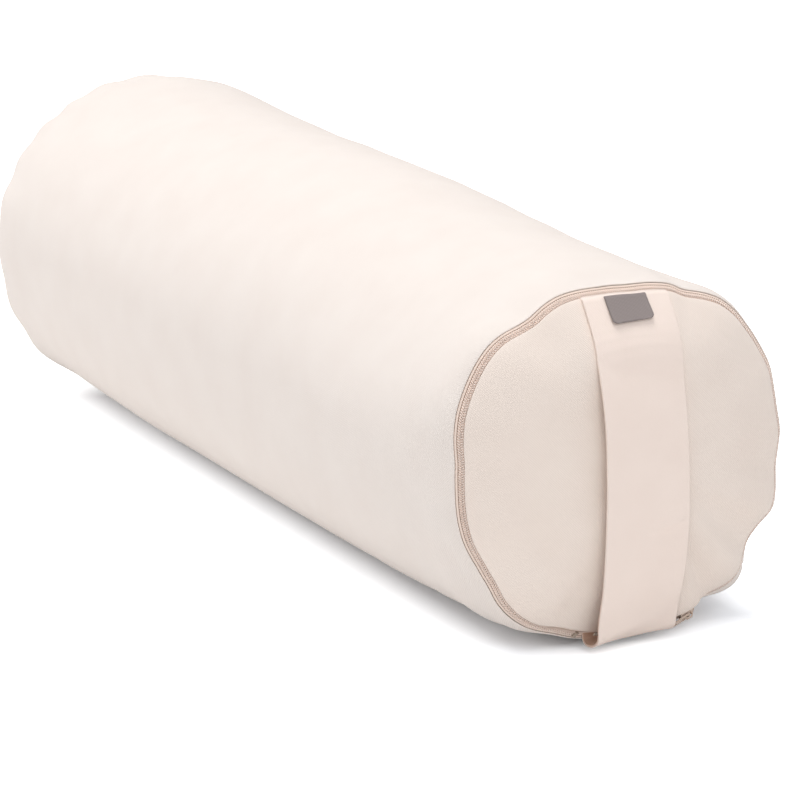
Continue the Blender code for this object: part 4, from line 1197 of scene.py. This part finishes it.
def main():
    """Makes every piece and its finish, and then the studio."""
    bpy.context.scene.view_settings.view_transform = "Standard"
    # Undyed cotton, spun and woven in twill: a soft off-white, a little warmer on the zipped end
    body_cloth = twill("undyed_cotton_twill", "#f1e8e0", "#e9ddd4", rib_mm=0.9, relief=0.00010)
    end_cloth = twill("undyed_cotton_twill_end", "#f6e9de", "#ecdcd0", rib_mm=0.9, relief=0.00012)
    # Cotton twill sewn to a flat band: its ribs lean the other way, and its back carries a brown
    # painted shade in the loop
    strap_cloth = twill("undyed_cotton_strap_twill", "#fbebe0", "#f3e1d5", rib_mm=0.7,
                        relief=0.00009, turn=90.0, back="#c9a690")
    # Polyester ribbon, woven close and dyed grey-brown: flat and nearly matt
    label_cloth = woven_tape("grey_brown_label_weave", "#9c918e", "#877c79")
    # Polyester tapes, woven and dyed to go with the cloth, with a darker line of stitches and
    # painted shade on the edges that go in under the cloth
    tape_cloth = woven_tape("cream_polyester_tape", "#fdebdd", "#f4e0d2", "#b39a8a")
    # The inner tape is the same cream tape, a little darker as painted shade under the end panel's
    # edge
    inner_tape_cloth = woven_tape("cream_polyester_tape_painted_shade", "#fbe9dc", "#f0dccf", "#cbb5a6")
    # Nylon wire, drawn, wound and dyed cream: smooth and softly glossy
    coil_plastic = nylon("cream_nylon_coil", "#fff0e5", "#f6e2d5")
    # Die-cast zinc under cream lacquer, and pressed aluminium that shines through a clear one
    cast_lacquer = lacquered("cream_lacquered_zinc", "#dcc8b8", "#cfb9a8",
                             roughness=0.35, metallic=0.0)
    stop_metal = lacquered("pressed_aluminium_stop", "#cdbfb2", "#b9aa9c",
                           roughness=0.4, metallic=0.6)
    # Thin unbleached cotton inside, greyer than the cover, and pressed kapok in a creamy buff
    liner_cloth = plain_weave("unbleached_liner_cotton", "#ebe4d8", "#ddd5c7")
    kapok_fill = kapok("pressed_kapok", "#e4d7b4", "#c4b284")

    dress(make_side_panel(), body_cloth)
    front_panel = make_end_panel("front_panel_twill", 1, "cover_front_panel")
    dress(front_panel, end_cloth)
    dress(make_end_panel("back_panel_twill", -1, "cover_back_panel"), body_cloth)
    for tape, finish in zip(make_tapes(), (tape_cloth, inner_tape_cloth)):
        dress(tape, finish)
    for coil in make_coils():
        dress(coil, coil_plastic)
    dress(make_liner(), liner_cloth)
    dress(make_filling(), kapok_fill)
    face = strap_face(front_panel)
    dress(make_strap(face), strap_cloth)
    dress(make_label(face), label_cloth)

    for finish, names in (
            (cast_lacquer, ("zip_slider", "zip_pull", "liner_zip_slider", "liner_zip_pull")),
            (stop_metal, ("zip_top_stop_outer", "zip_top_stop_inner", "zip_bottom_stop",
                          "liner_zip_stop_left", "liner_zip_stop_right")),
            (liner_cloth, ("zip_end_tab", "liner_front_panel", "liner_back_panel",
                           "liner_zip_tape_lower", "liner_zip_tape_upper")),
            (coil_plastic, ("liner_zip_coil_lower", "liner_zip_coil_upper"))):
        for name in names:
            dress(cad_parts[name], finish)

    build_world()
    build_floor()
    for name, (place, target, size, power) in LAMPS.items():
        add_soft_lamp(name, place, target, size, power)
    build_camera()


main()
